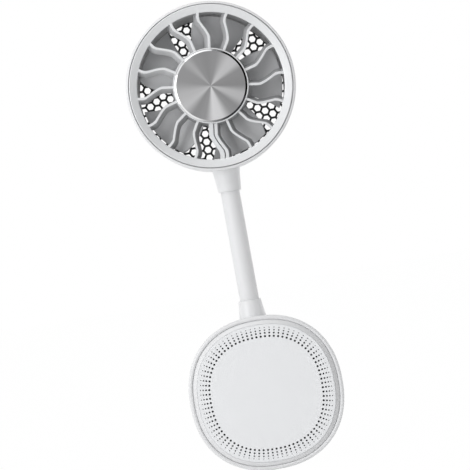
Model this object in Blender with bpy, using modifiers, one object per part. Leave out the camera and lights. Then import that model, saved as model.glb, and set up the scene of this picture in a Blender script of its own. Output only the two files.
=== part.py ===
"""Clip-on fan: a round fan head on a bendable neck, over a squarish battery base with a spring clip behind it.

Metres, +Z up. The fan faces -Y and the clip is on the +Y side. The origin is the grip of the clip: the middle
of the seam between its two closed jaw pads. Depths in the head and the base are heights towards the front, -Y.
"""

import math

import bmesh
import bpy
from mathutils import Matrix, Vector

MM = 0.001
DEG = math.radians(1)

# Clearances
GAP = 0.3 * MM  # between two pieces that touch
RUNNING_GAP = 0.5 * MM  # round the rotor
TIP_GAP = 1.6 * MM  # from a blade's tip to the duct

# Main sizes and places
HEAD_RADIUS = 45.0 * MM
HEAD_DEPTH = 41.0 * MM
HEAD_FRONT = 14.0 * MM  # from the neck's axis to the ring's face
BASE_HALF = 41.0 * MM
BASE_DEPTH = 21.8 * MM
BASE_ROUNDNESS = 2.25  # exponent of the base's outline: 2 is a circle
HEAD_TO_BASE = 165.2 * MM
GRIP_TO_BASE = 22.0 * MM  # from the jaw pads up to the base's centre
BACK_FROM_GRIP = 1.2 * MM  # from the seam of the pads to the base's back
NECK_TO_BASE_BACK = 10.8 * MM

# Head shell and front guard
SHELL_WALL = 1.9 * MM
HEAD_DRAFT = 0.8 * MM  # how much slimmer the drum is at its back
HEAD_EDGE = 2.2 * MM  # rounding of the rear edge
RING_WIDTH = 4.3 * MM
LIP_WIDTH = 1.55 * MM  # from the head's outside in to the seam round the ring
LIP_SETBACK = 0.5 * MM  # the shell's lip lies this far behind the ring's face
LIP_ROUNDING = 1.4 * MM
RING_THICKNESS = 2.3 * MM
RING_EDGE = 0.5 * MM
RING_DISH = 0.6 * MM  # how far the ring's face slopes in towards the fan
SKIRT_DEPTH = 7.0 * MM
DUCT_WALL = 1.3 * MM
DUCT_DEPTH = 35.6 * MM
DUCT_FLARE = 0.55 * MM  # how much wider the duct is at its back
REAR_LIP = 5.2 * MM  # from the head's outside in to the rear opening
REAR_WALL = 1.8 * MM
HUB_RADIUS = 20.0 * MM
HUB_RIM = 1.1 * MM
HUB_FLOOR = 1.5 * MM
HUB_DEPTH = 8.0 * MM
DISC_THICKNESS = 1.2 * MM
DISC_BEVEL = 0.8 * MM
DISC_PROUD = 0.3 * MM
DISC_DISH = 0.15 * MM
HUB_EDGE = 0.3 * MM

# Guard vanes
VANES = 16
VANE_WIDTH = 1.4 * MM
VANE_BACK_WIDTH = 0.9 * MM
VANE_DEPTH = 6.0 * MM
VANE_RECESS = 1.0 * MM
VANE_SLANT = 1.9 * MM  # how far its back edge lies anticlockwise of its front edge, seen from the front
VANE_SWEEP = 8.0 * DEG  # how far its inner end lies clockwise of its outer end
VANE_HOOK = 0.6 * DEG
VANE_BEND = (0.915, 0.61)  # shares of the opening's radius where the S begins and ends
LEAD_CHANNEL = 1.5 * MM  # clear width between the two struts that hide the motor's leads

# Impeller and motor
BLADES = 5
BLADE_SPAN = 54.5 * DEG
BLADE_FIRST = 11.6 * DEG
BLADE_SWEEP = 8.9 * DEG  # how far its tip lies clockwise of its root
BLADE_THICKNESS = 1.2 * MM
BLADE_AXIAL = 8.4 * MM
BLADE_TO_VANE = 1.8 * MM
SHAFT_RADIUS = 1.0 * MM
BUSH_WALL = 2.0 * MM
STATOR_RADIUS = 11.0 * MM
STATOR_TEETH = 9
MAGNET_WALL = 1.0 * MM
CAN_WALL = 0.8 * MM
CAN_DEPTH = 10.3 * MM
CAN_FLOOR = 1.2 * MM
CORE_LIFT = 1.8 * MM  # from the can's floor to the wound core
BLADE_CAMBER = 0.5 * MM
BLADE_TAPER = 0.117  # share of its span that a blade loses towards its tip
ROTOR_HUB_WALL = 2.4 * MM
ROTOR_HUB_PROUD = 1.5 * MM  # the hub's front stands this far in front of the blades
ROTOR_HUB_EDGE = 1.0 * MM
MOTOR_BOARD = 1.0 * MM
LEAD_RADIUS = 0.4 * MM
LEAD_SOLDER = 2.0 * MM
LEAD_SLACK = 3.2 * MM
LEAD_TURN = 3.4 * MM

# Rear grille
CELL_PITCH = 4.45 * MM
CELL_WEB = 1.0 * MM
LEAST_CELL = 0.7  # share of a whole cell that one cut off by the rim has to keep
GRILLE_THICKNESS = 1.6 * MM
GRILLE_RIM = 0.3 * MM  # from the rear opening's edge in to the cells
GRILLE_CENTRE = 24.2 * MM
GRILLE_SCREW = 0.7 * MM
GRILLE_SCREW_HEAD = 1.35 * MM
GRILLE_SCREW_EDGE = 1.4 * MM  # from the plate's edge to a screw's axis

# Neck
TUBE_RADIUS = 5.15 * MM
SPINE_RADIUS = 2.7 * MM
LIP_RADIUS = 5.65 * MM
PLUG_RADIUS = 4.2 * MM
PLUG_LENGTH = 9.0 * MM
UPPER_COLLAR = 12.4 * MM  # length outside the head
UPPER_ROOT = 7.1 * MM  # radius where it meets the head
LOWER_COLLAR = 8.0 * MM
LOWER_ROOT = 6.6 * MM
COLLAR_FILLET = 0.5 * MM
COLLAR_EDGE = 0.6 * MM
NECK_JOINTS = 6
DOME_RADIUS = 6.6 * MM

# Base
BASE_WALL = 2.8 * MM
BASE_BACK = 2.2 * MM
COVER_INSET = 2.3 * MM  # from the outline to the seam
PLATE_INSET = 5.4 * MM  # from the outline to the flat plate
PLATE_RISE = 0.95 * MM
COVER_WALL = 1.6 * MM
COVER_SKIRT = 2.5 * MM
BASE_EDGE = 6.5 * MM  # rounding of the back edge
RIM_EDGE = 0.6 * MM
RIM_ROUNDING = 1.5 * MM
COVER_OVERLAP = 1.2 * MM  # width of the cover's skirt
VENT_COUNT = 84
VENT_ROW = 10.8 * MM  # inset of the inner row
VENT_RADIUS = 0.52 * MM
SCREEN_THICKNESS = 0.4 * MM
SCREEN_WIDTH = 6.4 * MM
SCREEN_SHIFT = 2.0 * MM  # the screen's middle lies this far outside the inner row of vents
POST_INSET = 10.63 * MM  # from the base's rounded corner in to a post, across and down
POST_RADIUS = 2.6 * MM
POST_GRIP = 0.5 * MM  # how far a post runs into the cover's wall
SCREW_HEAD = 2.2 * MM
SCREW_SHANK = 1.0 * MM
SCREW_HEAD_HEIGHT = 0.9 * MM
SCREW_LENGTH = 9.0 * MM
SCREW_RECESS = 1.2 * MM
BATTERY_WIDTH = 42.0 * MM
BATTERY_DEPTH = 8.0 * MM
BATTERY_TO_POST = 2.4 * MM
BATTERY_EDGE = 1.5 * MM
BATTERY_PAD = 1.0 * MM
BATTERY_PAD_INSET = 2.0 * MM
BOARD = 1.2 * MM
BOARD_HALF_WIDTH = 16.0 * MM
BOARD_INSET = 4.7 * MM  # from the base's wall up to the board's lower edge
BOARD_BOSS = 2.0 * MM
BOARD_BOSS_EDGE = 3.0 * MM  # from the board's edges to a boss
BOARD_TO_POST = 1.0 * MM
TONGUE_MARGIN = 1.5 * MM
BOARD_END_GAP = 0.9 * MM  # from its tongue to the curved wall
PORT = (8.94 * MM, 7.3 * MM, 3.26 * MM)
PORT_WALL = 0.35 * MM
PORT_CORNER = 1.1 * MM
PORT_SETBACK = 0.4 * MM  # from the base's outside in to the socket's mouth
PORT_TONGUE = (6.6 * MM, 0.7 * MM)
BUTTON_RADIUS = 4.0 * MM
BUTTON_TRAVEL = 0.6 * MM
BUTTON_FLANGE = 0.8 * MM
BUTTON_FLANGE_THICKNESS = 1.0 * MM
BUTTON_DISH = 0.25 * MM
BUTTON_EDGE = 0.5 * MM
SWITCH_RADIUS = 3.0 * MM
SWITCH_DEPTH = 3.4 * MM
SWITCH_BOARD_HEIGHT = 20.0 * MM
SWITCH_BOARD_FRONT = 5.0 * MM  # how far it reaches in front of the neck's axis
LED_MARGIN = 3.0 * MM
LED_SETBACK = 0.55 * MM
LED_RADIUS = 1.0 * MM
LED_RISE = 9.0 * MM

# Clip
CLIP_WIDTH = 30.0 * MM
CLIP_THICKNESS = 2.6 * MM
PIVOT_Y = 6.0 * MM
PIVOT_Z = 30.0 * MM
PIN_RADIUS = 1.25 * MM
KNUCKLE_RADIUS = 3.3 * MM
LUG_RADIUS = 2.9 * MM
LUG_OUTSIDE = 13.0 * MM
LUG_WIDTH = 3.0 * MM
KNUCKLE_WIDTH = 3.5 * MM
PAD_WIDTH = 24.0 * MM
PAD_HEIGHT = 14.0 * MM
PAD_THICKNESS = 1.4 * MM
PAD_RIB = 0.4 * MM
PAD_RIBS = 6
PAD_RECESS = 0.8 * MM
JAW_TIP = 9.0 * MM  # how far the flared tip reaches below the pad
JAW_SPREAD = 3.6 * MM
JAW_MARGIN = 0.8 * MM
JAW_RISE = 3.6 * MM  # from the pad up to where the arm leaves it
JAW_LEAN = 1.6 * MM
ARM_BEND = 14.0 * MM  # from the pin down to the arm's lower bend
ARM_STRAIGHT = (7.0 * MM, 5.0 * MM)  # its straight length below and above the pin
TAB_HEIGHT = 26.0 * MM  # from the pin up to the finger tab's end
TAB_LEAN = 5.1 * MM
ARM_END_CORNER = 5.0 * MM
TAB_RIBS = 3
TAB_RIB = (20.0 * MM, 0.45 * MM)  # length and radius of the ribs for the finger
TAB_RIB_PITCH = 2.4 * MM
SPRING_WIRE = 0.4 * MM
SPRING_TURNS = 5
SPRING_PITCH = 1.25 * MM
SPRING_LEG = 11.0 * MM
PIN_EDGE = 0.3 * MM

# Facets
ROUND = 36
TUBE_SIDES = 16
SMALL = 12
SCREW_SIDES = 7
OUTLINE = 40

# Places worked out from the sizes
BASE_Z = GRIP_TO_BASE
HEAD_Z = BASE_Z + HEAD_TO_BASE
NECK_Y = -BACK_FROM_GRIP - NECK_TO_BASE_BACK
BASE_TOP = BACK_FROM_GRIP + BASE_DEPTH  # heights towards the front, as for the head below
BASE_FLOOR = BACK_FROM_GRIP + BASE_BACK
HEAD_TOP = -NECK_Y + HEAD_FRONT
HEAD_BACK = HEAD_TOP - HEAD_DEPTH
SEAM_RADIUS = HEAD_RADIUS - LIP_WIDTH
OPENING = SEAM_RADIUS - GAP / 2 - RING_WIDTH
DUCT_BACK = HEAD_TOP - DUCT_DEPTH
HUB_TOP = HEAD_TOP
HUB_BACK = HUB_TOP - HUB_DEPTH
DISC_BACK = HUB_TOP + DISC_PROUD - DISC_THICKNESS
FLOOR_TOP = DISC_BACK - GAP
FLOOR_BACK = FLOOR_TOP - HUB_FLOOR
VANE_TOP = HEAD_TOP - VANE_RECESS
VANE_BACK = VANE_TOP - VANE_DEPTH
BLADE_TOP = VANE_BACK - BLADE_TO_VANE
BLADE_RADIUS = OPENING - TIP_GAP
BOARD_BACK = FLOOR_BACK - GAP - MOTOR_BOARD
BUSH_RADIUS = SHAFT_RADIUS + GAP + BUSH_WALL
MAGNET_INSIDE = STATOR_RADIUS + RUNNING_GAP
CAN_INSIDE = MAGNET_INSIDE + MAGNET_WALL + GAP
CAN_RADIUS = CAN_INSIDE + CAN_WALL
CAN_TOP = BOARD_BACK - RUNNING_GAP
CAN_BACK = CAN_TOP - CAN_DEPTH
ROTOR_HUB_INSIDE = CAN_RADIUS + GAP
ROTOR_HUB_RADIUS = ROTOR_HUB_INSIDE + ROTOR_HUB_WALL
ROTOR_HUB_BACK = CAN_BACK - GAP - ROTOR_HUB_WALL / 2
LOWER_LIP = BASE_Z + BASE_HALF + LOWER_COLLAR
UPPER_LIP = HEAD_Z - HEAD_RADIUS - UPPER_COLLAR
SEAM_RISE = math.sqrt(DOME_RADIUS**2 - TUBE_RADIUS**2)  # from a hinge's centre to the seam it makes
HINGE_PITCH = (UPPER_LIP - SEAM_RISE - GAP - LOWER_LIP) / NECK_JOINTS
COLLAR_BORE = PLUG_RADIUS + GAP
SHELL_INSIDE = HEAD_RADIUS - SHELL_WALL
REAR_OPENING = HEAD_RADIUS - REAR_LIP
GRILLE_RADIUS = SHELL_INSIDE - GAP
GRILLE_BACK = HEAD_BACK + REAR_WALL + GAP
RIM_HEIGHT = BASE_TOP - PLATE_RISE
POST_PLACE = BASE_HALF * 0.5 ** (1 / BASE_ROUNDNESS) - POST_INSET
ARM_INNER = PAD_THICKNESS + 1.5 * GAP  # y of the arm's face behind its pad
COIL_RADIUS = PIN_RADIUS + 2 * GAP + SPRING_WIRE

HEAD_FRAME = Matrix.Translation((0, 0, HEAD_Z)) @ Matrix.Rotation(90 * DEG, 4, "X")
BASE_FRAME = Matrix.Translation((0, 0, BASE_Z)) @ Matrix.Rotation(90 * DEG, 4, "X")
SIDE_FRAME = Matrix.Rotation(90 * DEG, 4, "Z") @ Matrix.Rotation(90 * DEG, 4, "X")  # outline in Y, Z
ACROSS = Matrix.Rotation(90 * DEG, 4, "Y")  # a turned piece's axis along +X


def fresh_collection(name):
    made = bpy.data.collections.new(name)
    bpy.context.scene.collection.children.link(made)
    return made


for old in list(bpy.data.objects):
    bpy.data.objects.remove(old)
PARTS = fresh_collection("clip_on_fan")
CUTTERS = fresh_collection("cutters")


def finish(name, colour, roughness, metallic=0.0):
    made = bpy.data.materials.new(name)
    made.use_nodes = True
    shader = made.node_tree.nodes["Principled BSDF"]
    shader.inputs["Base Color"].default_value = (*colour, 1.0)
    shader.inputs["Roughness"].default_value = roughness
    shader.inputs["Metallic"].default_value = metallic
    return made


WHITE = finish("white_shell", (0.80, 0.80, 0.81), 0.38)
RING_WHITE = finish("ring_white", (0.70, 0.71, 0.72), 0.45)
BLADE_GREY = finish("blade_grey", (0.34, 0.35, 0.36), 0.42)
CHARCOAL = finish("charcoal", (0.035, 0.036, 0.04), 0.5)
SPUN = finish("spun_aluminium", (0.62, 0.62, 0.63), 0.28, 1.0)
STEEL = finish("steel", (0.50, 0.50, 0.52), 0.32, 1.0)
COPPER = finish("copper_winding", (0.62, 0.28, 0.12), 0.40, 1.0)
FERRITE = finish("ferrite", (0.05, 0.05, 0.055), 0.55)
BRONZE = finish("sintered_bronze", (0.45, 0.30, 0.14), 0.50, 1.0)
GREEN = finish("board_green", (0.02, 0.16, 0.06), 0.45)
SILICONE = finish("white_silicone", (0.78, 0.78, 0.79), 0.50)
RUBBER = finish("grey_rubber", (0.30, 0.31, 0.32), 0.80)
BATTERY_FOIL = finish("battery_foil", (0.20, 0.32, 0.52), 0.35, 0.3)
FOAM = finish("foam_tape", (0.06, 0.06, 0.06), 0.90)
MESH_CLOTH = finish("screen_mesh", (0.07, 0.07, 0.075), 0.85)
CLEAR = finish("light_pipe", (0.85, 0.88, 0.90), 0.20)
WIRE_RED = finish("lead_insulation", (0.45, 0.03, 0.03), 0.50)


def pivot(name, location):
    empty = bpy.data.objects.new(name, None)
    empty.location = location
    empty.empty_display_size = 5 * MM
    PARTS.objects.link(empty)
    return empty


def put(name, data, look, carrier=None, frame=None):
    """Adds an object at the world matrix `frame`. With no look it is a cutter or a piece to be fused."""
    obj = bpy.data.objects.new(name, data)
    obj.matrix_basis = frame or Matrix.Identity(4)
    if carrier:
        obj.parent = carrier
        obj.matrix_parent_inverse = Matrix.Translation(-carrier.location)
    if look:
        data.materials.append(look)
        PARTS.objects.link(obj)
    else:
        CUTTERS.objects.link(obj)
        obj.hide_render = True
        obj.display_type = "WIRE"
    return obj


def turned(name, profile, look, carrier=None, frame=None, steps=ROUND, ring=True):
    """Spins a profile of (radius, height) about the frame's Z. Its outer side runs downwards."""
    mesh = bpy.data.meshes.new(name)
    edges = [(i, i + 1) for i in range(len(profile) - 1)]
    if ring:
        edges.append((len(profile) - 1, 0))
    mesh.from_pydata([(radius, 0, height) for radius, height in profile], edges, [])
    obj = put(name, mesh, look, carrier, frame)
    screw = obj.modifiers.new("turn", "SCREW")
    screw.axis = "Z"
    screw.steps = screw.render_steps = steps
    screw.use_merge_vertices = True
    screw.merge_threshold = 0.00001
    return obj


def solid_round(name, radius, low, high, look, carrier=None, frame=None, steps=SMALL):
    profile = [(0, high), (radius, high), (radius, low), (0, low)]
    return turned(name, profile, look, carrier, frame, steps, ring=False)


def flat(name, outlines, low, high, look, carrier=None, frame=None):
    """A filled 2D outline, with any inner outlines as holes, from `low` to `high` along the frame's Z."""
    curve = bpy.data.curves.new(name, "CURVE")
    curve.dimensions = "2D"
    curve.fill_mode = "BOTH"
    curve.extrude = (high - low) / 2
    for outline in outlines:
        spline = curve.splines.new("POLY")
        spline.points.add(len(outline) - 1)
        for point, (x, y) in zip(spline.points, outline):
            point.co = (x, y, 0, 1)
        spline.use_cyclic_u = True
    lifted = (frame or Matrix.Identity(4)) @ Matrix.Translation((0, 0, (low + high) / 2))
    return meshed(name, curve, look, carrier, lifted)


def wire(name, points, radius, look, carrier=None, frame=None, resolution=2):
    """A tube along the points, with closed ends."""
    curve = bpy.data.curves.new(name, "CURVE")
    curve.dimensions = "3D"
    curve.bevel_depth = radius
    curve.bevel_resolution = resolution
    curve.use_fill_caps = True
    spline = curve.splines.new("POLY")
    spline.points.add(len(points) - 1)
    for point, place in zip(spline.points, points):
        point.co = (*place, 1)
    return meshed(name, curve, look, carrier, frame)


def meshed(name, curve, look, carrier, frame):
    """Turns a curve into one closed mesh, so that it can be cut, fused or used as a cutter."""
    source = bpy.data.objects.new(name + "_curve", curve)
    CUTTERS.objects.link(source)
    graph = bpy.context.evaluated_depsgraph_get()
    mesh = bpy.data.meshes.new_from_object(source.evaluated_get(graph))
    bpy.data.objects.remove(source)
    work = bmesh.new()
    work.from_mesh(mesh)
    bmesh.ops.remove_doubles(work, verts=work.verts, dist=0.000001)
    bmesh.ops.recalc_face_normals(work, faces=work.faces)
    work.to_mesh(mesh)
    work.free()
    mesh.name = name
    return put(name, mesh, look, carrier, frame)


def box(name, low, high, look, carrier=None, frame=None, edge=0.0):
    """A block between two corners, with rounded edges if `edge` is given."""
    work = bmesh.new()
    size = [b - a for a, b in zip(low, high)]
    middle = [(a + b) / 2 for a, b in zip(low, high)]
    bmesh.ops.create_cube(work, size=1, matrix=Matrix.Translation(middle) @ Matrix.Diagonal((*size, 1)))
    mesh = bpy.data.meshes.new(name)
    work.to_mesh(mesh)
    work.free()
    obj = put(name, mesh, look, carrier, frame)
    if edge:
        bevel = obj.modifiers.new("edges", "BEVEL")
        bevel.width = edge
        bevel.segments = 2
    return obj


def loft(name, rings, look, carrier=None, frame=None):
    """Joins rings of equal count into one closed body, with its first and last ring capped."""
    work = bmesh.new()
    rows = [[work.verts.new(point) for point in ring] for ring in rings]
    count = len(rows[0])
    for near, far in zip(rows, rows[1:]):
        for i in range(count):
            j = (i + 1) % count
            work.faces.new((near[i], near[j], far[j], far[i]))
    work.faces.new(rows[0])
    work.faces.new(rows[-1])
    bmesh.ops.recalc_face_normals(work, faces=work.faces)
    mesh = bpy.data.meshes.new(name)
    work.to_mesh(mesh)
    work.free()
    return put(name, mesh, look, carrier, frame)


def combine(obj, operation, tools):
    for tool in tools:
        step = obj.modifiers.new(tool.name, "BOOLEAN")
        step.operation = operation
        step.solver = "EXACT"
        step.object = tool


def cut(obj, *tools):
    combine(obj, "DIFFERENCE", tools)


def fuse(obj, *tools):
    combine(obj, "UNION", tools)


def around(radius, clockwise, depth):
    """A point in the head's or base's frame: the angle runs clockwise from the top, seen from the front."""
    return Vector((radius * math.sin(clockwise), radius * math.cos(clockwise), depth))


def smooth(share):
    share = min(1, max(0, share))
    return share * share * (3 - 2 * share)


def base_outline(inset, count=OUTLINE):
    """The base's outline, moved inwards by `inset`, as points in its frame's X and Y."""
    points = []
    power = BASE_ROUNDNESS
    for i in range(count):
        angle = 2 * math.pi * i / count
        c, s = math.cos(angle), math.sin(angle)
        x = BASE_HALF * math.copysign(abs(c) ** (2 / power), c)
        y = BASE_HALF * math.copysign(abs(s) ** (2 / power), s)
        normal = Vector((math.copysign(abs(x) ** (power - 1), x), math.copysign(abs(y) ** (power - 1), y)))
        normal.normalize()
        points.append((x - normal.x * inset, y - normal.y * inset))
    return points


def base_rings(sections):
    return [[(x, y, height) for x, y in base_outline(inset)] for inset, height in sections]


def evenly(points, count):
    """`count` points at equal steps along a closed outline."""
    ring = [Vector(p) for p in points] + [Vector(points[0])]
    lengths = [(b - a).length for a, b in zip(ring, ring[1:])]
    step = sum(lengths) / count
    found, travelled, segment = [], 0.0, 0
    for i in range(count):
        wanted = i * step
        while travelled + lengths[segment] < wanted:
            travelled += lengths[segment]
            segment += 1
        a, b = ring[segment], ring[segment + 1]
        found.append(a.lerp(b, (wanted - travelled) / lengths[segment]))
    return found


def polygon(middle, radius, sides, turn=0.0):
    angles = [turn + 2 * math.pi * i / sides for i in range(sides)]
    return [(middle[0] + radius * math.cos(a), middle[1] + radius * math.sin(a)) for a in angles]


# Head


def head_shell(carrier):
    """The drum round the fan, open at both ends, with the neck's upper collar under it."""
    rear = HEAD_RADIUS - HEAD_DRAFT
    outer_arc = [
        (rear - HEAD_EDGE * (1 - math.cos(a)), HEAD_BACK + HEAD_EDGE * (1 - math.sin(a)))
        for a in (0, 45 * DEG, 90 * DEG)
    ]
    lip = SEAM_RADIUS + GAP / 2
    lip_top = HEAD_TOP - LIP_SETBACK
    profile = [
        (lip, lip_top),
        (HEAD_RADIUS - LIP_ROUNDING / 2, lip_top),
        (HEAD_RADIUS, lip_top - LIP_ROUNDING),
        *outer_arc,
        (REAR_OPENING, HEAD_BACK),
        (REAR_OPENING, HEAD_BACK + REAR_WALL),
        (SHELL_INSIDE, HEAD_BACK + REAR_WALL),
        (SHELL_INSIDE, HEAD_TOP - RING_THICKNESS - GAP),
        (lip, HEAD_TOP - RING_THICKNESS - GAP),
    ]
    shell = turned("head_shell", profile, WHITE, carrier, HEAD_FRAME)
    root = HEAD_Z - SHELL_INSIDE - GAP
    neck_axis = Matrix.Translation((0, NECK_Y, 0))
    skin = HEAD_Z - HEAD_RADIUS
    taper = UPPER_ROOT - LIP_RADIUS
    collar = [
        (0, root),
        (UPPER_ROOT + COLLAR_FILLET, root),
        (UPPER_ROOT, skin),
        (LIP_RADIUS + taper * 0.37, skin - UPPER_COLLAR * 0.45),
        (LIP_RADIUS + taper * 0.07, skin - UPPER_COLLAR * 0.8),
        (LIP_RADIUS, UPPER_LIP + COLLAR_EDGE),
        (LIP_RADIUS - COLLAR_EDGE, UPPER_LIP),
        (0, UPPER_LIP),
    ]
    fuse(shell, turned("upper_collar", collar, None, frame=neck_axis, steps=TUBE_SIDES, ring=False))
    low, high = UPPER_LIP - MM, root + MM
    cut(shell, solid_round("upper_bore", COLLAR_BORE, low, high, None, frame=neck_axis, steps=TUBE_SIDES))
    return shell


def vane_angle(radius):
    """Where a vane lies at this radius, clockwise of its outer end: an S with a slight hook outside."""
    share = radius / OPENING
    start, end = VANE_BEND
    swept = VANE_SWEEP * smooth((start - share) / (start - end))
    hook = VANE_HOOK * math.sin(math.pi * min(1, max(0, (1 - share) / (1 - start + 0.045))))
    return swept - hook


def vane_place(radius, outer_end, height, aside=0.0):
    """A point of a vane's middle surface, or `aside` of it, clockwise."""
    slant = VANE_SLANT * (VANE_TOP - height) / VANE_DEPTH
    return around(radius, outer_end + vane_angle(radius) + (aside - slant) / radius, height)


def vane(name, outer_end, aside=0.0):
    inner = HUB_RADIUS - HUB_RIM / 2
    outer = OPENING + DUCT_WALL / 2
    stations = [inner + (outer - inner) * i / 6 for i in range(7)]
    front, back = VANE_WIDTH / 2, VANE_BACK_WIDTH / 2
    corners = [(VANE_TOP, -front), (VANE_TOP, front), (VANE_BACK, back), (VANE_BACK, -back)]
    rings = []
    for radius in stations:
        rings.append([vane_place(radius, outer_end, height, aside + side) for height, side in corners])
    return loft(name, rings, None, frame=HEAD_FRAME)


def lead_route():
    """The motor's leads: out between the twin struts, back behind the ring and down into the collar."""
    height = VANE_TOP - VANE_DEPTH / 2
    board_edge = STATOR_RADIUS + LEAD_SOLDER
    inside = [around(board_edge, math.pi + VANE_SWEEP, BOARD_BACK + MOTOR_BOARD / 2)]
    near, far = HUB_RADIUS - HUB_RIM - LEAD_SOLDER, OPENING + RING_EDGE
    channel = [vane_place(near + (far - near) * i / 8, math.pi, height) for i in range(9)]
    x = channel[-1].x
    wall = -SHELL_INSIDE + LEAD_RADIUS + 2 * GAP
    turn = [
        (x, (wall - OPENING) / 2 - LEAD_RADIUS, height - LEAD_TURN / 3),
        (x * 0.8, wall, height - LEAD_TURN),
        (x * 0.4, wall, -NECK_Y + LEAD_TURN),
        (0, -SHELL_INSIDE - LEAD_RADIUS, -NECK_Y + LEAD_RADIUS),
        (0, UPPER_LIP + PLUG_LENGTH + GAP + LEAD_RADIUS - HEAD_Z, -NECK_Y),
    ]
    return inside + channel + [Vector(p) for p in turn]


def front_guard(carrier):
    """The front ring with its duct, sixteen slanted S-shaped vanes and the hub that carries the motor."""
    outer = SEAM_RADIUS - GAP / 2
    skirt = SHELL_INSIDE - GAP
    ring_back = HEAD_TOP - RING_THICKNESS
    profile = [
        (OPENING + RING_EDGE, HEAD_TOP - RING_DISH),
        (outer - RING_EDGE, HEAD_TOP),
        (outer, HEAD_TOP - RING_EDGE),
        (outer, ring_back),
        (skirt, ring_back),
        (skirt, HEAD_TOP - SKIRT_DEPTH),
        (skirt - DUCT_WALL, HEAD_TOP - SKIRT_DEPTH),
        (skirt - DUCT_WALL, ring_back),
        (OPENING + DUCT_WALL, ring_back),
        (OPENING + DUCT_WALL + DUCT_FLARE, DUCT_BACK),
        (OPENING + DUCT_FLARE, DUCT_BACK),
        (OPENING, HEAD_TOP - 2 * RING_EDGE),
    ]
    guard = turned("front_guard", profile, RING_WHITE, carrier, HEAD_FRAME)
    rim = HUB_RADIUS - HUB_RIM
    hub = [
        (0, FLOOR_TOP),
        (rim, FLOOR_TOP),
        (rim, HUB_TOP),
        (HUB_RADIUS - HUB_EDGE, HUB_TOP),
        (HUB_RADIUS, HUB_TOP - HUB_EDGE),
        (HUB_RADIUS, HUB_BACK),
        (rim, HUB_BACK),
        (rim, FLOOR_BACK),
        (0, FLOOR_BACK),
    ]
    fuse(guard, turned("guard_hub", hub, None, frame=HEAD_FRAME, ring=False))
    twin = (LEAD_CHANNEL + VANE_WIDTH) / 2
    for i in range(VANES):
        outer_end = 2 * math.pi * i / VANES
        if i == VANES // 2:
            fuse(guard, vane("twin_strut_left", outer_end, -twin), vane("twin_strut_right", outer_end, twin))
        else:
            fuse(guard, vane(f"vane_{i:02d}", outer_end))
    cut(guard, wire("lead_channel", lead_route(), LEAD_RADIUS + GAP, None, frame=HEAD_FRAME, resolution=1))
    return guard


def hub_disc(carrier):
    """The spun aluminium disc in the hub's rim, with a bright turned bevel."""
    radius = HUB_RADIUS - HUB_RIM - GAP
    top = HUB_TOP + DISC_PROUD
    profile = [
        (0, top - DISC_DISH),
        (radius - DISC_BEVEL, top),
        (radius, top - DISC_BEVEL * 0.6),
        (radius, DISC_BACK),
        (0, DISC_BACK),
    ]
    return turned("hub_disc", profile, SPUN, carrier, HEAD_FRAME, ring=False)


def clipped(outline, radius):
    """The part of a small outline that lies within a circle about the axis, its cut side left straight."""
    kept = []
    for a, b in zip(outline, outline[1:] + outline[:1]):
        a, b = Vector(a), Vector(b)
        if a.length <= radius:
            kept.append(a)
        if (a.length <= radius) != (b.length <= radius):
            side = b - a
            along, across = a.dot(side) / side.length, side.length
            reach = math.sqrt(along**2 - a.length_squared + radius**2)
            share = (-along + reach) / across
            kept.append(a.lerp(b, share if 0 <= share <= 1 else (-along - reach) / across))
    return kept


def area(outline):
    return abs(sum(a[0] * b[1] - b[0] * a[1] for a, b in zip(outline, outline[1:] + outline[:1]))) / 2


def honeycomb():
    """Outlines of the grille's cells. Those at the rim are cut off by it, and the middle is left plain."""
    side = CELL_PITCH / math.sqrt(3)
    hole = (CELL_PITCH - CELL_WEB) / math.sqrt(3)
    reach = int(REAR_OPENING / CELL_PITCH) + 2
    found = []
    for row in range(-2 * reach, 2 * reach + 1):
        for column in range(-2 * reach, 2 * reach + 1):
            middle = Vector((row * side * 1.5, (column + row * 0.5) * CELL_PITCH))
            if GRILLE_CENTRE < middle.length < REAR_OPENING + CELL_PITCH:
                cell = polygon(middle, hole, 6)
                kept = clipped(cell, REAR_OPENING - GRILLE_RIM)
                if len(kept) > 2 and area(kept) > LEAST_CELL * area(cell):
                    found.append(kept)
    return found


def rear_grille(carrier):
    """The dark honeycomb plate, held from inside behind the shell's rear opening."""
    cells = honeycomb()
    screw_holes = [polygon(place.xy, GRILLE_SCREW + GAP, 8) for place in grille_screw_places()]
    outlines = [polygon((0, 0), GRILLE_RADIUS, ROUND)] + cells + screw_holes
    print("honeycomb cells:", len(cells))
    return flat("rear_grille", outlines, GRILLE_BACK, GRILLE_BACK + GRILLE_THICKNESS, CHARCOAL, carrier, HEAD_FRAME)


def grille_screw_places():
    return [around(GRILLE_RADIUS - GRILLE_SCREW_EDGE, (45 + 90 * i) * DEG, 0) for i in range(4)]


def screw_profile(head, shank, top, thickness, length):
    """A pan head over a plain shank, from `top` downwards."""
    return [
        (0, top),
        (head * 0.85, top),
        (head, top - thickness),
        (shank, top - thickness),
        (shank, top - thickness - length),
        (0, top - thickness - length),
    ]


def head_screws(shell, carrier):
    """Four small screws that hold the grille to the shell's rear wall from inside."""
    top = GRILLE_BACK + GRILLE_THICKNESS + GAP + SCREW_HEAD_HEIGHT
    reach = GRILLE_THICKNESS + 2 * GAP + REAR_WALL / 2
    low = top - SCREW_HEAD_HEIGHT - reach - GAP
    for i, place in enumerate(grille_screw_places()):
        frame = HEAD_FRAME @ Matrix.Translation(place)
        profile = screw_profile(GRILLE_SCREW_HEAD, GRILLE_SCREW, top, SCREW_HEAD_HEIGHT, reach)
        cut(shell, solid_round(f"rear_wall_hole_{i}", GRILLE_SCREW + GAP, low, top, None, frame=frame, steps=8))
        turned(f"head_screw_{i + 1}", profile, STEEL, carrier, frame, steps=SCREW_SIDES, ring=False)


# Motor and impeller


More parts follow.
